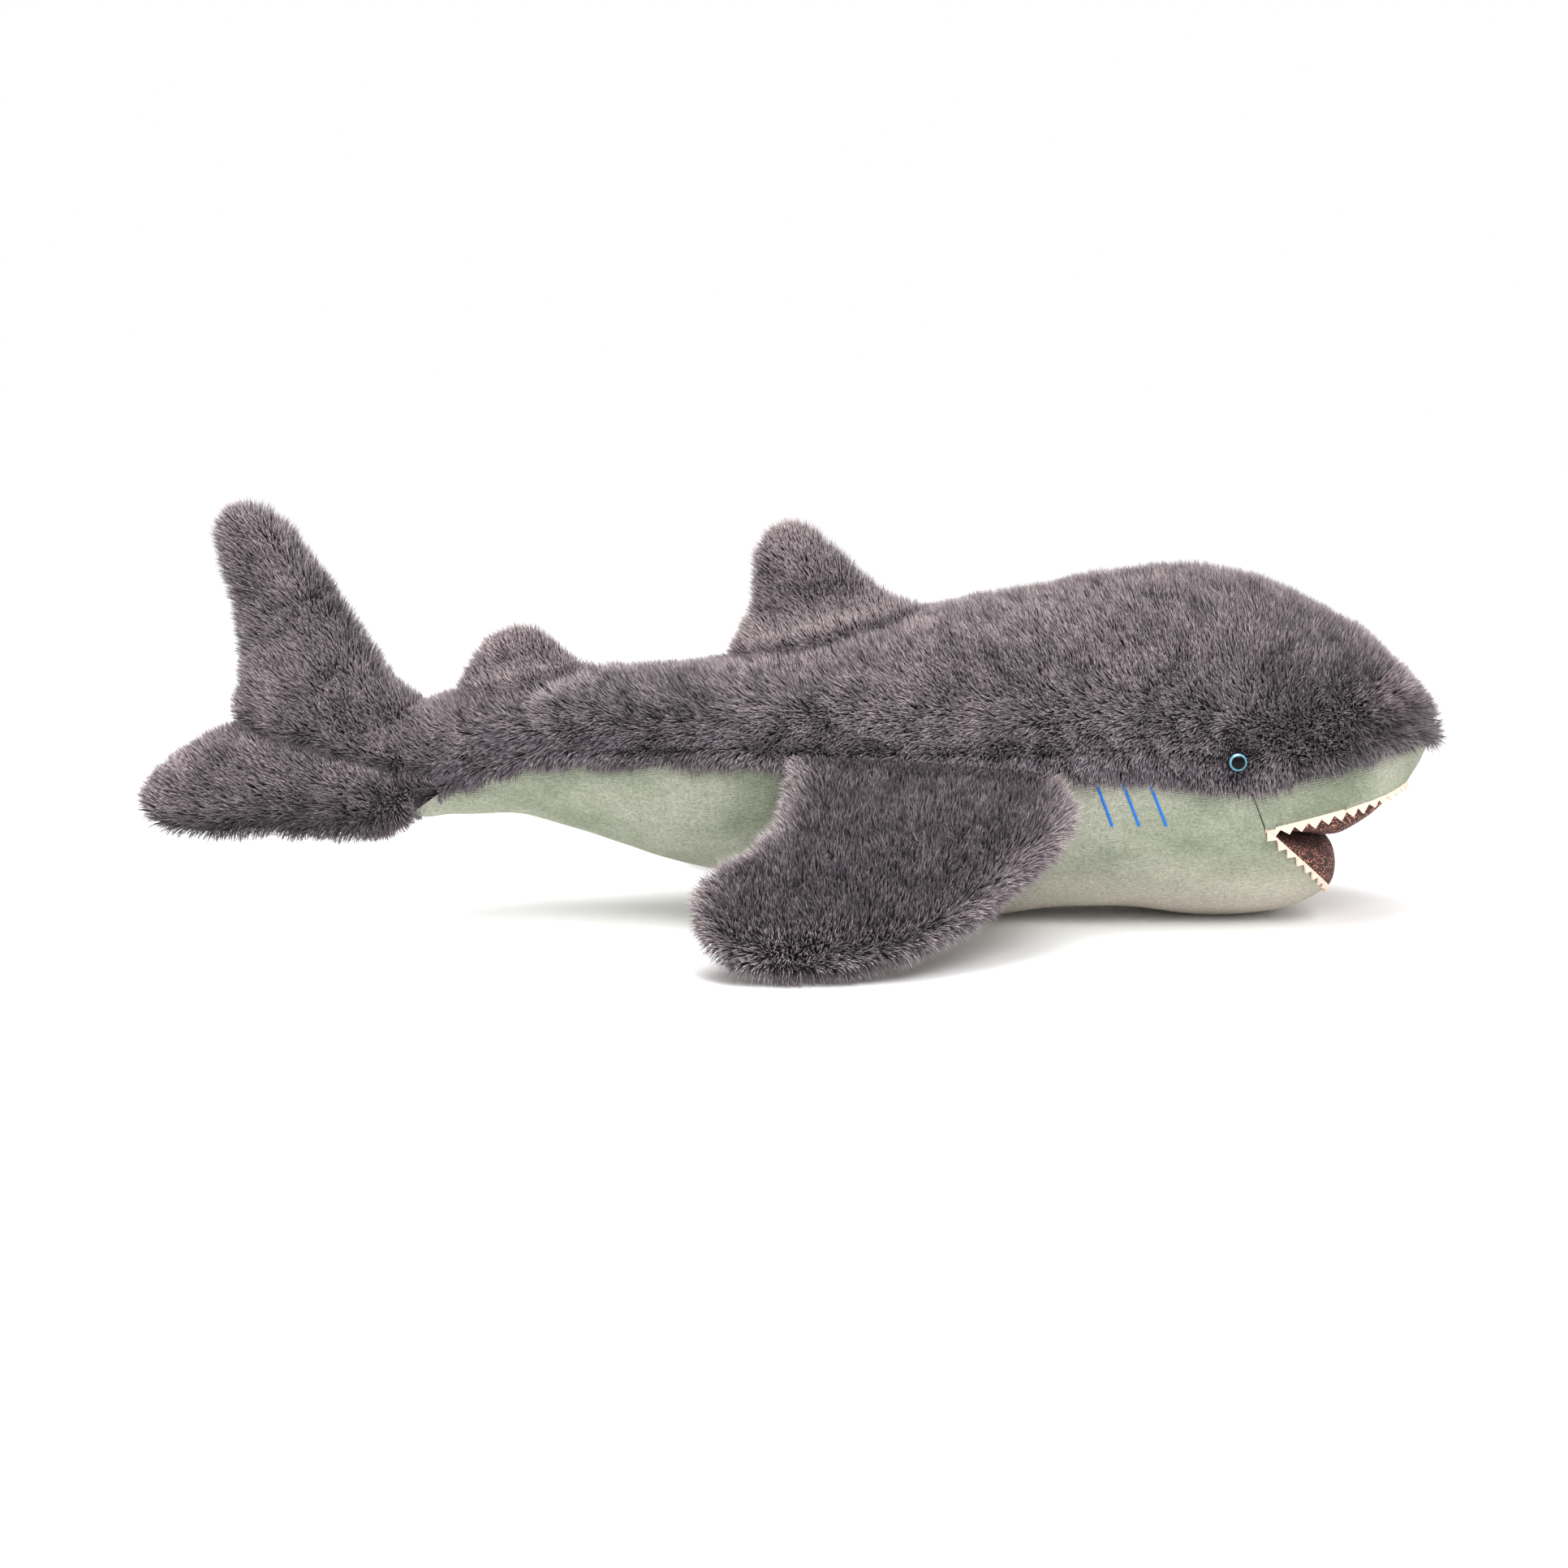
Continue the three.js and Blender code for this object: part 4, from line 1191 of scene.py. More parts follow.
class StandingFin:
    """A dorsal fin with pile on both sides."""

    def __init__(self, name: str, size: FinSize, body: Body, nodes: Sequence[str]) -> None:
        """Keeps the fin's name, outline, body and the part's nodes that it stands for."""
        self.name, self.size, self.body, self.nodes = name, size, body, nodes

    def build(self, finishes: Finishes, pile: Pile) -> list[bpy.types.Object]:
        """Builds the stuffed fin and its pile.

        Returns:
            The two pieces.
        """
        fin = Fin(self.size, 3.9 * MM)
        bm, _ = fin.shape()
        obj = piece(bm, f"{self.name}_backing", [finishes.backing])
        points, normals = mesh_points(obj)
        out = (points - np.array(fin.start)) @ np.array(fin.span)
        nap = comb_along(normals, NAP)
        reach = pile.size.length * (0.9 + 0.1 * smoothstep(out / (14 * MM)))
        # Painted light: the standing fins' pile is paler, as upper parts catching the top lamp are.
        set_pile(obj, nap, reach, smoothstep((out + 7 * MM) / (3 * MM)), 0.3)
        grown = pile.grow(obj, f"{self.name}_pile", 30 + len(self.name))
        for o in (obj, grown):
            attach(o, self.body.value)
        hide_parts(*self.nodes)
        return [obj, grown]


class PectoralFin:
    """A side fin: pile over the top and round the rim, knit beneath."""

    RIM = 0.86

    def __init__(self, side: Side) -> None:
        """Keeps the side."""
        self.side = side
        self.name = f"pectoral_{side.name.lower()}"
        self.body = Body[side.name]

    def build(self, finishes: Finishes, pile: Pile) -> list[bpy.types.Object]:
        """Builds the top, the lining and the pile.

        Returns:
            The pieces.
        """
        fin = Fin(PECTORAL, 4.2 * MM, 72, 60)
        up = 1 if fin.across.z > 0 else -1
        made = []
        for part in ("top", "lining"):
            bm, shares = fin.shape()
            flag = bm.verts.layers.float.new("flag")
            inside = (shares[:, 1] > 3 * MM) & (shares[:, 1] < (PECTORAL.length - 13) * MM)
            beneath = (shares[:, 2] * up < -0.42) & inside
            for v, value in zip(bm.verts, beneath, strict=True):
                v[flag] = float(value)
            lining = [f for f in bm.faces if all(v[flag] > 0.5 for v in f.verts)]
            gone = set(bm.faces) - set(lining) if part == "lining" else set(lining)
            bmesh.ops.delete(bm, geom=list(gone), context="FACES")
            if part == "lining":
                points, normals = points_of(bm), normals_of(bm)
                rim = np.array([v.is_boundary for v in bm.verts])
                puff = 1.6 * MM + 1.4 * MM * wander(points, 24 * MM, 2.0)
                move(bm, points + normals * np.where(rim, -0.8 * MM, puff)[:, None])
            if self.side is Side.LEFT:
                points = points_of(bm) * np.array([1, -1, 1])
                move(bm, points)
                bmesh.ops.reverse_faces(bm, faces=bm.faces)
            finish = finishes.knit if part == "lining" else finishes.backing
            obj = piece(bm, f"{self.name}_{part}", [finish])
            made.append(obj)
        top, lining = made
        span = np.array(fin.span) * np.array([1, -self.side.value, 1])
        across = np.array(fin.across) * up * np.array([1, -self.side.value, 1])
        start = np.array(fin.start) * np.array([1, -self.side.value, 1])
        points, normals = mesh_points(top)
        out = (points - start) @ span
        facing = normals @ across
        chord = np.array(fin.chord)
        place = (points - start) @ chord
        ends = Line(PECTORAL.trailing).at(out), Line(PECTORAL.leading).at(out)
        sideways = (2 * place - ends[0] - ends[1]) / np.maximum(ends[1] - ends[0], 10 * MM)
        rim = np.maximum(smoothstep((np.abs(sideways) - 0.62) / 0.36), smoothstep((out - 104 * MM) / (24 * MM)))
        outward = chord * np.sign(sideways)[:, None] * smoothstep(np.abs(sideways) / 0.7)[:, None]
        outward = outward + span * smoothstep((out - 70 * MM) / (55 * MM))[:, None]
        nap = comb_along(normals, NAP * 0.3 + span * 0.12) * (1 - rim[:, None]) + outward * (0.85 * rim[:, None])
        reach = pile.size.length * (0.55 + 0.34 * smoothstep(out / (16 * MM)) + 0.2 * rim)
        reach = reach * (0.85 + 0.15 * smoothstep((facing + 1) / 0.7))
        # Painted light and shade: paler round the rim, where light shines through the pile's tips, and darker over the
        # rest of the fin.
        set_pile(top, nap, reach, smoothstep((out + 5 * MM) / (4 * MM)), 0.42 * rim - 0.2)
        for number, (low, high) in enumerate([(-20, 62), (62, 140)]):
            edge = Vector(span)
            root = Vector(start)
            grown = pile.grow(top, f"{self.name}_pile_{number + 1}", 40 + number + 5 * self.side.value,
                              lambda p, a=low, b=high, e=edge, r=root: a * MM <= (p - r).dot(e) < b * MM)
            made.append(grown)
        for o in made:
            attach(o, self.body.value)
        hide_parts(f"{self.name}_fur_panel", f"{self.name}_stuffing")
        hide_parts(f"{self.name}_lining_panel")
        return made


@dataclass(frozen=True)
class LobeSize:
    """A tail lobe's outline along its span, in millimetres."""

    low: Stations
    high: Stations
    thickness: Stations
    upright: bool


UPPER_LOBE = LobeSize(
    ((92, -298), (109, -303), (118, -299), (144, -295), (171, -298), (201, -306), (215, -302), (224, -290)),
    ((92, -196), (118, -198), (127, -210), (144, -222), (166, -234), (188, -250), (212, -269), (224, -284)),
    ((92, 20), (118, 20), (148, 17), (198, 14), (216, 10), (224, 4)),
    True,
)
LOWER_LOBE = LobeSize(
    ((-350, 59), (-342, 50), (-320, 44), (-285, 45), (-254, 43), (-228, 43), (-206, 51)),
    ((-350, 65), (-342, 77), (-323, 92), (-300, 106), (-281, 112), (-206, 112)),
    ((-350, 4), (-343, 9), (-325, 13), (-290, 17), (-250, 20), (-206, 21)),
    False,
)


class TailFin:
    """The tail fin's two lobes, grown together with the end of the torso."""

    def __init__(self, trunk: Trunk) -> None:
        """Keeps the trunk whose end the lobes join."""
        self.trunk = trunk

    @staticmethod
    def lobe(size: LobeSize, inset: float) -> Skin:
        """One closed lobe, set in from the tips of the pile."""
        bm = ball(40, 36)
        unit = points_of(bm)
        share = 1 - np.arccos(np.clip(unit[:, 2], -1, 1)) / math.pi
        r = np.hypot(unit[:, 0], unit[:, 1])
        first, last = size.low[0][0] * MM, size.low[-1][0] * MM
        first += 0 if size.upright else inset
        last -= inset if size.upright else 0
        place = first + (last - first) * (1 - np.cos(share * math.pi)) / 2
        low, high = Line(size.low).at(place), Line(size.high).at(place)
        end = share if not size.upright else 1 - share
        tip = np.clip(end / 0.12, 0, 1)
        full = np.where(end < 0.5, np.sqrt(np.clip(1 - (1 - tip) ** 2, 0, 1)), np.minimum(1, r * 3))
        reach = np.maximum((high - low) / 2 - inset, 2.5 * MM) * full
        thick = np.maximum(Line(size.thickness).at(place) - inset * 0.8, 3 * MM) * full
        angle = np.arctan2(unit[:, 1], unit[:, 0])
        pole = r < 1e-6
        c = np.where(pole, 0, np.sign(np.cos(angle)) * np.abs(np.cos(angle)) ** 0.9)
        t = np.where(pole, 0, np.sign(np.sin(angle)) * np.abs(np.sin(angle)) ** 0.85)
        wide, deep = (low + high) / 2 + reach * c, thick * t
        move(bm, np.column_stack([wide, deep, place]) if size.upright else np.column_stack([place, deep, wide]))
        return facing_out(bm)

    def build(self, finishes: Finishes, pile: Pile) -> list[bpy.types.Object]:
        """Builds the tail fin and its pile.

        Returns:
            The pieces.
        """
        torso = self.trunk.torso
        inset = 4.3 * MM
        bm = torso.skin()
        cut(bm, (-120 * MM, 0, 0), (1, 0, 0))
        keep_faces(bm, lambda p: p.x < -120 * MM)
        points, normals = points_of(bm), normals_of(bm)
        move(bm, points - normals * 6.3 * MM)
        bmesh.ops.holes_fill(bm, edges=[e for e in bm.edges if e.is_boundary], sides=0)
        for size in (UPPER_LOBE, LOWER_LOBE):
            other = bpy.data.meshes.new("lobe")
            made = self.lobe(size, inset)
            made.to_mesh(other)
            made.free()
            bm.from_mesh(other)
            bpy.data.meshes.remove(other)
        obj = piece(bm, "tail_fin_backing", [], outward=True)
        remesh = obj.modifiers.new("join", "REMESH")
        remesh.mode, remesh.voxel_size, remesh.use_smooth_shade = "VOXEL", 3 * MM, True
        soften = obj.modifiers.new("soften", "SMOOTH")
        soften.factor, soften.iterations = 0.5, 5
        applied(obj)
        bm = bmesh.new()
        bm.from_mesh(obj.data)
        cut(bm, (Trunk.REAR_FROM, 0, 0), (1, 0, 0))
        keep_faces(bm, lambda p: p.x < Trunk.REAR_FROM)
        points, normals = points_of(bm), normals_of(bm)
        dent = torso.crease(points) * 4.5 * MM + 1.0 * MM * wander(points, 30 * MM, 5.0)
        move(bm, points - normals * dent[:, None])
        bm.to_mesh(obj.data)
        bm.free()
        obj.data.materials.clear()
        obj.data.materials.append(finishes.backing)
        obj.data.shade_smooth()
        points, normals = mesh_points(obj)
        nap = comb_along(normals, NAP)
        reach = pile.size.length * (0.92 + 0.12 * wander(points, 25 * MM, 3.0)) * (1 - 0.4 * torso.crease(points))
        under = (points[:, 2] < torso.edge.at(points[:, 0])) & (points[:, 0] > Trunk.VELOUR_TO)
        # Painted light: the tail fin's pile is a little paler, as a part catching the top lamp is.
        set_pile(obj, nap, reach, 1.0 - under, 0.1)
        bend = ((-180 * MM, 0, 0.09), (-222 * MM, 0, 0.09))
        crease = Line(CREASE)
        parts = [("upper_1", lambda p: p.z >= float(crease.at(p.x)) and p.z > 0.135),
                 ("upper_2", lambda p: p.z >= float(crease.at(p.x)) and p.z <= 0.135),
                 ("lower", lambda p: p.z < float(crease.at(p.x)))]
        grown = [pile.grow(obj, f"tail_fin_pile_{name}", 60 + n, keep) for n, (name, keep) in enumerate(parts)]
        for o in (obj, *grown):
            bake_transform(o, Body.TAIL.value, Body.TAIL_FIN.value, *bend)
        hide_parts("tail_fin_upper_lobe_cover", "tail_fin_lower_lobe_cover", "tail_fin_stuffing")
        return [obj, *grown]


# ---------------------------------------------------------------- mouth
class Lip:
    """One lip's edge: where the skin meets the mouth."""

    def __init__(self, trunk: Trunk, direction: Vector) -> None:
        """Follows the skin along a lip line.

        Args:
            trunk: The trunk whose skin is followed.
            direction: The lip line's direction in the X Z plane, from the corner.
        """
        self.trunk, self.direction = trunk, direction
        torso = trunk.torso
        far = 0.0
        while torso.breadth(*self._xz(far + 0.25 * MM)) > 0:
            far += 0.25 * MM
        self.length = far
        share = np.sin(np.linspace(0, 1, 80) * math.pi / 2)
        self.away = far * share
        self.half = np.array([torso.breadth(*self._xz(a)) for a in self.away])
        self.half[-1] = 0.0

    def _xz(self, away: float) -> tuple[float, float]:
        """X and Z at a distance from the corner."""
        p = self.trunk.corner + self.direction * away
        return p.x, p.z

    def outline(self, inset: float = 0.0) -> np.ndarray:
        """The whole lip from the right corner round the front to the left corner.

        Args:
            inset: How far inside the skin.

        Returns:
            Rows of x, y, z, evenly spaced along the lip.
        """
        half = np.maximum(self.half - inset, 0)
        away = self.away * (self.length - inset) / self.length
        right = np.array([[*self._xz(a), -h] for a, h in zip(away, half, strict=True)])
        line = np.vstack([right, (right * np.array([1, 1, -1]))[-2::-1]])[:, [0, 2, 1]]
        steps = np.concatenate([[0], np.cumsum(np.linalg.norm(np.diff(line, axis=0), axis=1))])
        even = np.linspace(0, steps[-1], 600)
        return np.column_stack([np.interp(even, steps, line[:, k]) for k in range(3)])


class Teeth:
    """A felt strip round a lip, cut into a row of points."""

    BAND = (-2.4, -0.6, 0.8)

    def __init__(self, name: str, lip: Lip, up: int, body: Body) -> None:
        """Keeps the strip's name, lip, which way the mouth is and its body."""
        self.name, self.lip, self.up, self.body = name, lip, up, body

    def build(self, finishes: Finishes) -> bpy.types.Object:
        """Cuts the strip, lays it along the lip and thickens it.

        Returns:
            The strip.
        """
        mouth = self.lip.trunk.torso.mouth
        line = self.lip.outline(0.6 * MM)
        length = float(np.sum(np.linalg.norm(np.diff(line, axis=0), axis=1)))
        count = int(length / (mouth.tooth_pitch * MM))
        per = 8
        bm = bmesh.new()
        bmesh.ops.create_grid(bm, x_segments=count * per, y_segments=6, size=0.5)
        points = points_of(bm)
        along = np.round((points[:, 0] + 0.5) * count * per).astype(int)
        row = np.round((points[:, 1] + 0.5) * 6).astype(int)
        place = along / (count * per) * (len(line) - 1)
        at = np.column_stack([np.interp(place, np.arange(len(line)), line[:, k]) for k in range(3)])
        steps, last = np.arange(len(line)), len(line) - 1
        ahead = np.column_stack([np.interp(np.minimum(place + 2, last), steps, line[:, k]) for k in range(3)])
        behind = np.column_stack([np.interp(np.maximum(place - 2, 0), steps, line[:, k]) for k in range(3)])
        tangent = ahead - behind
        tangent /= np.linalg.norm(tangent, axis=1, keepdims=True)
        plane = np.array(Trunk.square_to(self.lip.direction))
        out = np.cross(tangent, plane)
        middle = line.mean(axis=0)
        out *= np.sign(np.sum(out * (at - middle), axis=1, keepdims=True))
        opening = plane * self.up
        tooth = 1 - np.abs((along % per) / per * 2 - 1)
        number = along // per
        rng = np.random.default_rng(5 if self.up > 0 else 9)
        tall = mouth.tooth * (0.84 + 0.24 * rng.random(count + 1))[number]
        reach = np.select([row == 0, row == 1, row == 2], self.BAND, 0.0) * MM
        share = np.clip((row - 2) / 4, 0, 1)
        reach = np.where(row > 2, self.BAND[2] * MM + share * tooth * tall * MM, reach)
        lean = (rng.random(count + 1) - 0.5)[number] * 1.3 * MM * share * tooth
        if self.up < 0:
            moved = at + opening * reach[:, None] - out * (0.10 * np.maximum(reach, 0) + 0.2 * MM)[:, None]
        else:
            reach = np.where(row < 2, reach + 0.9 * MM, reach)
            over = np.maximum(reach - self.BAND[2] * MM, 0)
            proud = np.where(row < 2, -1.0 * MM, 0.9 * MM) + 0.5 * MM * smoothstep(over / (1.2 * MM)) + 0.2 * over
            moved = at + opening * np.minimum(reach, self.BAND[2] * MM)[:, None] - opening * over[:, None]
            moved = moved + out * proud[:, None]
        moved += tangent * lean[:, None]
        move(bm, moved)
        bmesh.ops.remove_doubles(bm, verts=bm.verts, dist=0.02 * MM)
        bmesh.ops.recalc_face_normals(bm, faces=bm.faces)
        obj = piece(bm, self.name.replace("strip", "felt"), [finishes.felt])
        thick = obj.modifiers.new("felt", "SOLIDIFY")
        thick.thickness, thick.offset = 1.3 * MM, 0
        soft = obj.modifiers.new("soft", "BEVEL")
        soft.width, soft.segments, soft.limit_method, soft.angle_limit = 0.3 * MM, 2, "ANGLE", math.radians(50)
        applied(obj)
        obj.data.shade_smooth()
        if self.body is Body.JAW:
            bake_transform(obj, Body.TRUNK.value, Body.JAW.value, *self.lip.trunk.jaw_bend)
        else:
            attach(obj, self.body.value)
        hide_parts(self.name)
        return obj


class MouthPad:
    """A stuffed knitted pad that lines one jaw and bulges into the mouth."""

    # By the side the mouth is on: how the bulge falls off along the lip, as a power and a root,
    # and how far the pad stays inside its lip, in millimetres.
    SLOPES = {-1: (2.6, 0.8), 1: (4.4, 0.6)}
    INSETS = {-1: 2.1, 1: 1.4}

    def __init__(self, name: str, lip: Lip, up: int, bulge: float, share: float, limit: float, body: Body) -> None:
        """Keeps the pad's name, lip and size.

        Args:
            name: The piece's name, also the node it stands for.
            lip: The lip it is sewn to.
            up: 1 when the mouth lies over it and -1 when under it.
            bulge: How far it bulges, in millimetres.
            share: How much of the lip's length the bulge takes.
            limit: The angle between the lip line and where the pads meet, in degrees.
            body: The body it rides on.
        """
        self.name, self.lip, self.up, self.body = name, lip, up, body
        self.bulge, self.share, self.limit = bulge, share, limit

    def build(self, finishes: Finishes) -> bpy.types.Object:
        """Builds the pad.

        Returns:
            The pad.
        """
        lip, trunk = self.lip, self.lip.trunk
        bm = bmesh.new()
        bmesh.ops.create_grid(bm, x_segments=56, y_segments=48, size=0.5)
        points = points_of(bm)
        share = np.sin((points[:, 0] + 0.5) * math.pi / 2)
        across = np.sin(points[:, 1] * math.pi)
        inset = self.INSETS[self.up] * MM
        away = (lip.length - inset) * share
        half = np.maximum(np.interp(away, lip.away, lip.half) - inset, 0.2 * MM)
        crown = np.maximum(1 - across**2, 0) ** 0.36
        fall, blunt = self.SLOPES[self.up]
        lengthwise = np.maximum(1 - (share / self.share) ** fall, 0) ** blunt
        full = self.bulge * MM * lengthwise * (0.93 + 0.07 * np.cos(across * 2.2))
        room = np.maximum(away * math.tan(math.radians(self.limit)) + 0.2 * MM, 0)
        sharp = 9.0
        tall = (np.maximum(full, 1e-6) ** -sharp + np.maximum(room, 1e-6) ** -sharp) ** (-1 / sharp) * crown
        direction, plane = np.array(lip.direction), np.array(Trunk.square_to(lip.direction)) * self.up
        base = np.array(trunk.corner) + np.outer(away, direction)
        base[:, 1] += half * across
        folds = 0.8 * MM * wander(base * np.array([1, 0.5, 1]), 15 * MM, 4.0) * np.minimum(tall / (5 * MM), 1)
        move(bm, base + np.outer(tall + folds, plane))
        bmesh.ops.recalc_face_normals(bm, faces=bm.faces)
        obj = piece(bm, self.name.replace("lining", "pad"), [finishes.knit])
        cloth = obj.modifiers.new("cloth", "SOLIDIFY")
        cloth.thickness, cloth.offset = 1.5 * MM, 0
        applied(obj)
        obj.data.shade_smooth()
        if self.body is Body.JAW:
            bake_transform(obj, Body.TRUNK.value, Body.JAW.value, *trunk.jaw_bend)
        else:
            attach(obj, self.body.value)
        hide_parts(self.name)
        return obj


# ---------------------------------------------------------------- eyes and gills
@dataclass(frozen=True)
class EyeSize:
    """A safety eye, in millimetres."""

    x: float = 225.5
    z: float = 92.6
    radius: float = 5.0
    pupil: float = 3.5
    iris: float = 4.6
    bulge: float = 3.4
    stand: float = 5.2


class Eye:
    """A safety eye: black pupil, pearly ring, dark rim, with its post and washer inside."""

    def __init__(self, side: Side, size: EyeSize = EyeSize()) -> None:
        """Keeps the side and the sizes."""
        self.side, self.size = side, size

    def build(self, finishes: Finishes, torso: Torso) -> bpy.types.Object:
        """Turns the eye on its axis and seats it.

        Returns:
            The eye.
        """
        s = self.size
        profile = [(0, s.bulge), (s.pupil * 0.35, s.bulge * 0.985), (s.pupil * 0.7, s.bulge * 0.93),
                   (s.pupil * 0.98, s.bulge * 0.82), (s.pupil, s.bulge * 0.76),
                   (s.iris * 0.86, s.bulge * 0.66), (s.iris, s.bulge * 0.5), (s.iris * 1.01, s.bulge * 0.46),
                   (s.radius * 0.985, s.bulge * 0.34), (s.radius, s.bulge * 0.16), (s.radius * 0.97, -0.6),
                   (s.radius * 0.6, -1.2), (1.6, -1.3), (1.6, -11.0), (0, -11.0)]
        bm = bmesh.new()
        line = [bm.verts.new((r * MM, 0, h * MM)) for r, h in profile]
        edges = [bm.edges.new(pair) for pair in zip(line, line[1:], strict=False)]
        turn_all = {"axis": (0, 0, 1), "cent": (0, 0, 0), "angle": 2 * math.pi, "steps": 64, "use_merge": True}
        bmesh.ops.spin(bm, geom=line + edges, **turn_all)
        bmesh.ops.remove_doubles(bm, verts=bm.verts, dist=0.01 * MM)
        for f in bm.faces:
            c = f.calc_center_median()
            r = math.hypot(c.x, c.y) / MM
            f.material_index = 2 if c.z < 0.001 * s.bulge * 0.42 or r > s.iris else (0 if r < s.pupil else 1)
        made = bmesh.ops.create_cone(bm, cap_ends=True, segments=32, radius1=7 * MM, radius2=7 * MM, depth=1.6 * MM)
        bmesh.ops.translate(bm, verts=made["verts"], vec=(0, 0, -9.5 * MM))
        for v in made["verts"]:
            for f in v.link_faces:
                f.material_index = 2
        here = np.array([s.x * MM, torso.breadth(s.x * MM, s.z * MM), s.z * MM])
        step = MM
        slope_x = (torso.breadth((s.x + 1) * MM, s.z * MM) - torso.breadth((s.x - 1) * MM, s.z * MM)) / 2
        slope_z = (torso.breadth(s.x * MM, (s.z + 1) * MM) - torso.breadth(s.x * MM, (s.z - 1) * MM)) / 2
        out = Vector((-slope_x / step, 1, -slope_z / step)).normalized()
        out.y *= self.side.value
        turn = out.to_track_quat("Z", "X").to_matrix().to_4x4()
        spot = Vector((here[0], here[1] * self.side.value, here[2])) - out * (4.6 - s.stand) * MM
        bm.transform(Matrix.Translation(spot) @ turn)
        parts = [finishes.pupil, finishes.iris, finishes.rim]
        obj = piece(bm, f"eye_{self.side.name.lower()}_made", parts, outward=True)
        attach(obj, Body.TRUNK.value)
        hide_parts(f"eye_{self.side.name.lower()}", f"eye_washer_{self.side.name.lower()}")
        return obj


@dataclass(frozen=True)
class GillSize:
    """The stitched gill lines, in millimetres."""

    lines: tuple[tuple[float, float], ...] = ((152.5, 162), (166, 176), (180, 190))
    top: float = 82.5
    bottom: float = 58.5
    width: float = 1.7
    thread: float = 0.46
    pitch: float = 0.55


class GillStitch:
    """One satin-stitched gill line: many short slanted threads side by side."""

    def __init__(self, side: Side, number: int, size: GillSize = GillSize()) -> None:
        """Keeps the side, the line's number from 1 and the sizes."""
        self.side, self.number, self.size = side, number, size

    def build(self, finishes: Finishes, surface: Callable[[Vector, Vector], tuple[Vector, Vector]]) -> bpy.types.Object:
        """Lays the threads on the velour.

        Args:
            finishes: The materials.
            surface: Finds the velour's point and normal along a ray.

        Returns:
            The line.
        """
        s = self.size
        high, low = s.lines[self.number - 1]
        length = math.hypot(low - high, s.top - s.bottom)
        count = int(length / s.pitch)
        bm = bmesh.new()
        rng = np.random.default_rng(self.number + 10 * (self.side is Side.LEFT))
        for k in range(count):
            t = (k + 0.5) / count
            start = Vector((high + (low - high) * t, self.side.value * 200, s.top + (s.bottom - s.top) * t)) * MM
            spot, normal = surface(start, Vector((0, -self.side.value, 0)))
            run = Vector((low - high, 0, s.bottom - s.top)).normalized()
            across = normal.cross(run).normalized() + run * 0.5
            across.normalize()
            frame_ = Matrix([across, across.cross(normal), -normal]).transposed().to_4x4()
            wide = s.width * (0.93 + 0.2 * rng.random())
            shape = Matrix.Diagonal((wide / 2, s.thread, s.thread * 1.1, 1)) * MM
            shape[3][3] = 1
            bmesh.ops.create_uvsphere(bm, u_segments=8, v_segments=6, radius=1.0,
                                      matrix=Matrix.Translation(spot + normal * 0.12 * MM) @ frame_ @ shape)
        name = f"gill_stitch_{self.side.name.lower()}_{self.number}"
        obj = piece(bm, name.replace("stitch", "thread"), [finishes.thread], outward=True)
        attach(obj, Body.TRUNK.value)
        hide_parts(name)
        return obj


# ---------------------------------------------------------------- studio
@dataclass(frozen=True)
class CameraSize:
    """Where the camera stands and looks."""

    target: tuple[float, float, float] = (-0.005, 0.0, 0.071)
    distance: float = 1.4
    elevation: float = 9.0
    azimuth: float = -3.0
    lens: float = 59.3


class Studio:
    """A pale floor, soft lamps, a white surround and the camera."""

    def __init__(self, camera: CameraSize = CameraSize()) -> None:
        """Keeps the camera's place."""
        self.camera = camera

    def lamp(self, name: str, place: Sequence[float], size: float, power: float) -> None:
        """Adds a soft square lamp that faces the toy."""
        data = bpy.data.lights.new(name, "AREA")
        data.shape, data.size, data.energy = "SQUARE", size, power
        obj = bpy.data.objects.new(name, data)
        obj.location = place
        obj.rotation_mode = "QUATERNION"
        obj.rotation_quaternion = (Vector(place) - Vector((0, 0, 0.08))).to_track_quat("Z", "Y")
        bpy.context.scene.collection.objects.link(obj)

    def build(self, finishes: Finishes) -> None:
        """Builds the studio."""
        bm = bmesh.new()
        bmesh.ops.create_grid(bm, x_segments=1, y_segments=1, size=20)
        bmesh.ops.translate(bm, verts=bm.verts, vec=(0, 0, -0.3 * MM))
        piece(bm, "floor", [finishes.floor])
        world = bpy.data.worlds.new("studio")
        bpy.context.scene.world = world
        world.use_nodes = True
        world.node_tree.nodes["Background"].inputs["Color"].default_value = (1, 1, 1, 1)
        world.node_tree.nodes["Background"].inputs["Strength"].default_value = 1.0
        self.lamp("key lamp", (0.5, -1.2, 1.4), 0.8, 13)
        self.lamp("top lamp", (-0.1, -0.1, 1.8), 1.4, 30)
        c = self.camera
        a, e = math.radians(c.azimuth), math.radians(c.elevation)
        back = Vector((math.sin(a) * math.cos(e), -math.cos(a) * math.cos(e), math.sin(e)))
        data = bpy.data.cameras.new("camera")
        data.lens, data.sensor_width = c.lens, 36.0
        camera = bpy.data.objects.new("camera", data)
        camera.location = Vector(c.target) + back * c.distance
        camera.rotation_mode = "QUATERNION"
        camera.rotation_quaternion = back.to_track_quat("Z", "Y")
        bpy.context.scene.collection.objects.link(camera)
        bpy.context.scene.camera = camera
        bpy.context.scene.view_settings.view_transform = "Standard"


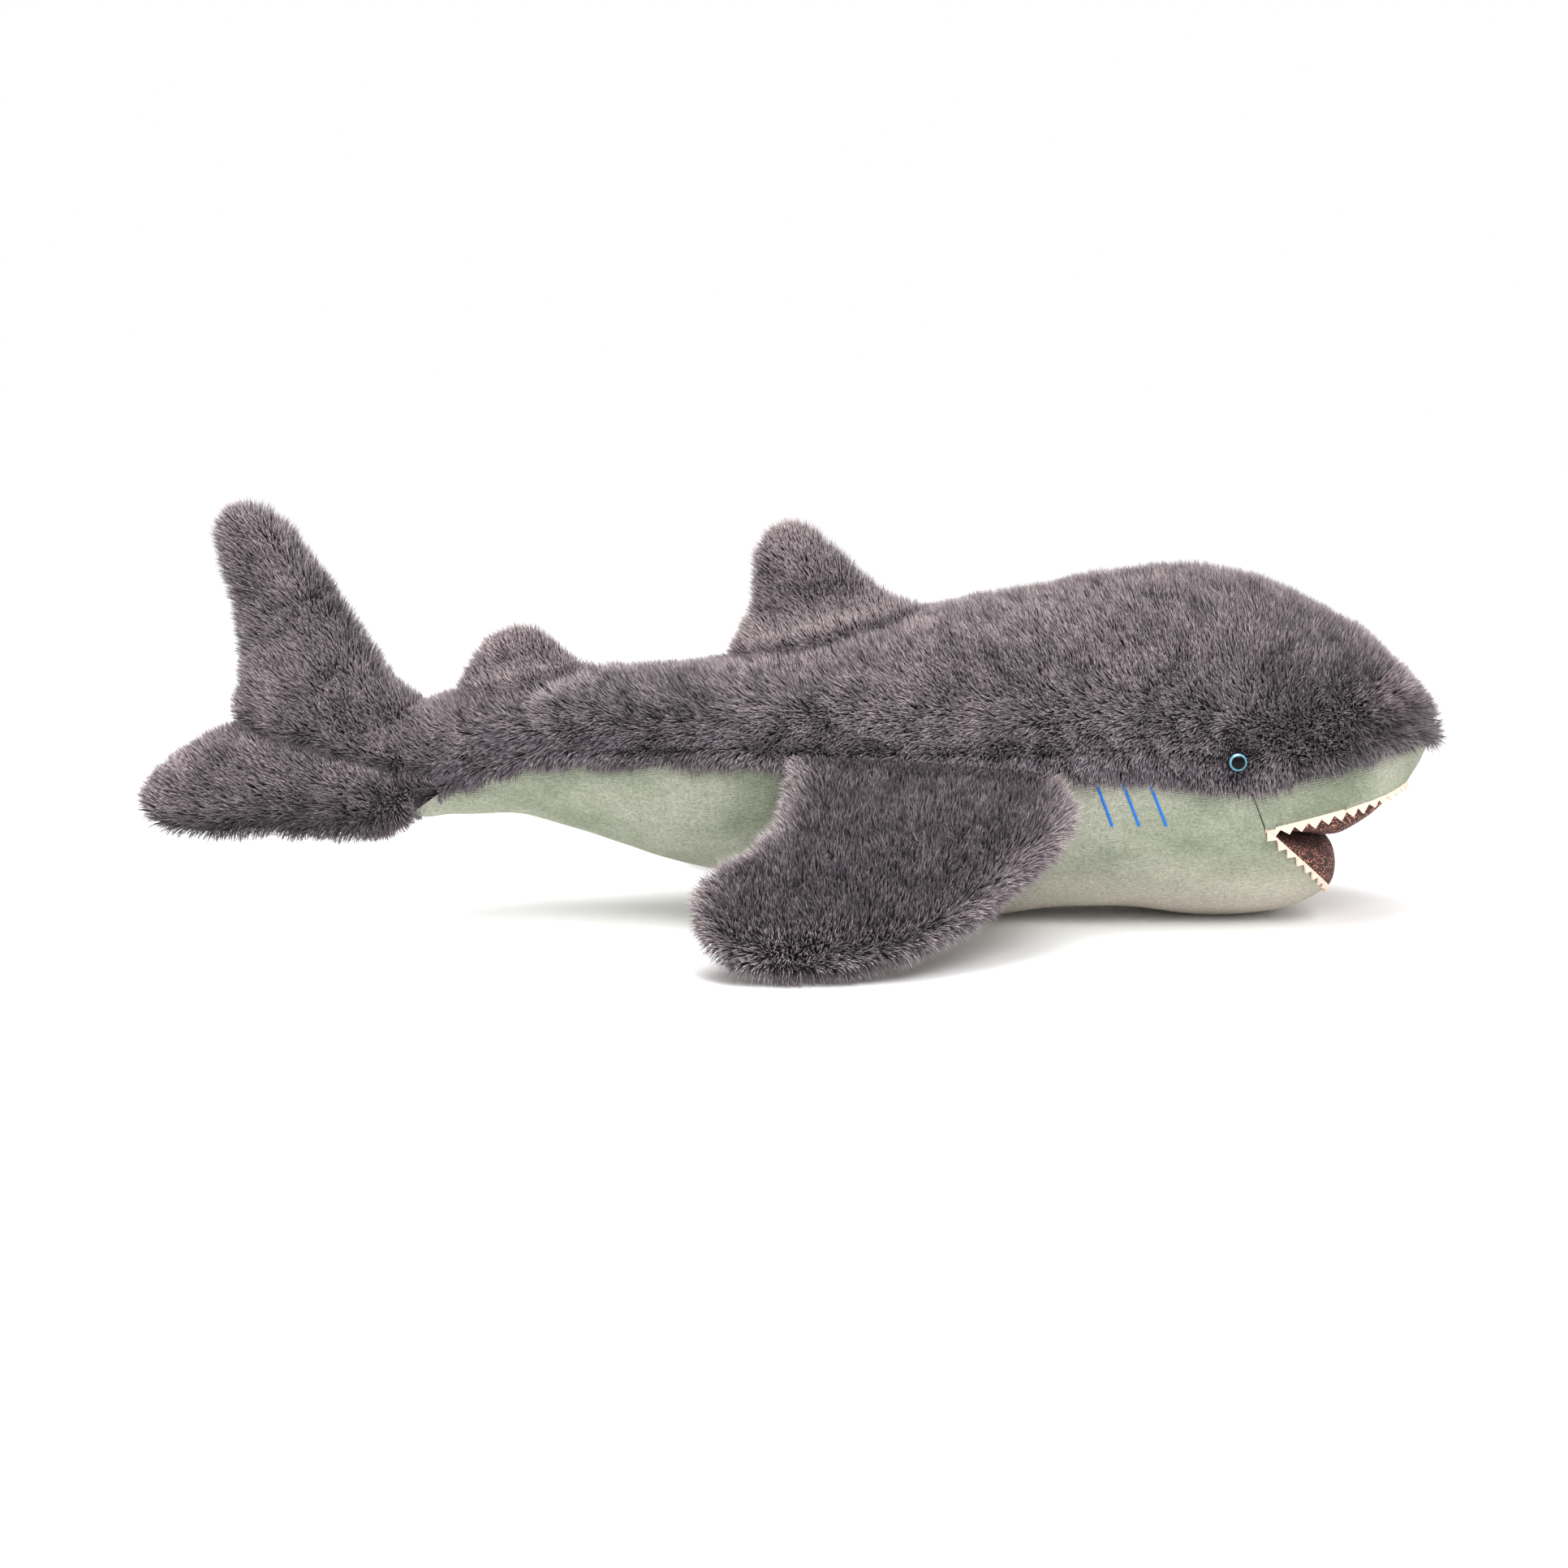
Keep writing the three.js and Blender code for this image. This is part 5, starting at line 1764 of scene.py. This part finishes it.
# ---------------------------------------------------------------- the whole toy
class Shark:
    """The toy, put together from its parts."""

    def __init__(self) -> None:
        """Makes the finishes, the pile and the torso."""
        self.finishes = Finishes()
        self.pile = Pile(PileSize())
        self.torso = Torso(TorsoSize(), MouthSize())
        self.trunk = Trunk(self.torso, self.finishes, self.pile)

    def build(self) -> None:
        """Builds every part and reports its pieces."""
        self.report("trunk", self.trunk.build())
        self.report("tail fin", TailFin(self.trunk).build(self.finishes, self.pile))
        for fin in (StandingFin("dorsal", DORSAL, Body.DORSAL, ["dorsal_fin_cover", "dorsal_fin_stuffing"]),
                    StandingFin("second_dorsal", SECOND_DORSAL, Body.SECOND_DORSAL,
                                ["second_dorsal_fin_cover", "second_dorsal_fin_stuffing"])):
            self.report(fin.name, fin.build(self.finishes, self.pile))
        for side in Side:
            self.report(f"{side.name.lower()} side", self.side_pieces(side))
        self.report("mouth", self.mouth_pieces())

    def side_pieces(self, side: Side) -> list[bpy.types.Object]:
        """The side fin, eye and gill lines of one side."""
        velour = bpy.data.objects["belly_and_jaw_velour"]

        def surface(start: Vector, direction: Vector) -> tuple[Vector, Vector]:
            """The velour's point and outward normal on a ray."""
            hit, spot, normal, _ = velour.ray_cast(start, direction)
            if not hit:
                spot, normal = start, -direction
            return spot, normal if normal.dot(direction) < 0 else -normal

        made = PectoralFin(side).build(self.finishes, self.pile)
        made.append(Eye(side).build(self.finishes, self.torso))
        made += [GillStitch(side, n).build(self.finishes, surface) for n in (1, 2, 3)]
        return made

    def mouth_pieces(self) -> list[bpy.types.Object]:
        """The teeth strips and the mouth pads."""
        mouth, trunk = self.torso.mouth, self.trunk
        upper, lower = Lip(trunk, trunk.upper), Lip(trunk, trunk.lower)
        up_angle = math.degrees(math.atan2(trunk.upper.z, trunk.upper.x))
        low_angle = math.degrees(math.atan2(trunk.lower.z, trunk.lower.x))
        above, below = up_angle - mouth.bite, mouth.bite - low_angle
        palate = MouthPad("palate_lining", upper, -1, mouth.palate_bulge, mouth.palate_share, above, Body.TRUNK)
        floor = MouthPad("jaw_lining", lower, 1, mouth.jaw_bulge, mouth.jaw_share, below, Body.JAW)
        return [
            Teeth("upper_teeth_strip", upper, -1, Body.TRUNK).build(self.finishes),
            Teeth("lower_teeth_strip", lower, 1, Body.JAW).build(self.finishes),
            palate.build(self.finishes),
            floor.build(self.finishes),
        ]

    @staticmethod
    def report(part: str, made: Sequence[bpy.types.Object]) -> None:
        """Logs each piece of a part with its face count."""
        for o in made:
            LOG.info("%s: %s, %d faces", part, o.name, len(o.data.polygons))


def main() -> None:
    """Builds the toy and the studio, and notes the sizes."""
    logging.basicConfig(level=logging.INFO, format="%(message)s")
    shark = Shark()
    shark.build()
    Studio().build(shark.finishes)
    bpy.context.view_layer.update()


if __name__ == "__main__":
    main()
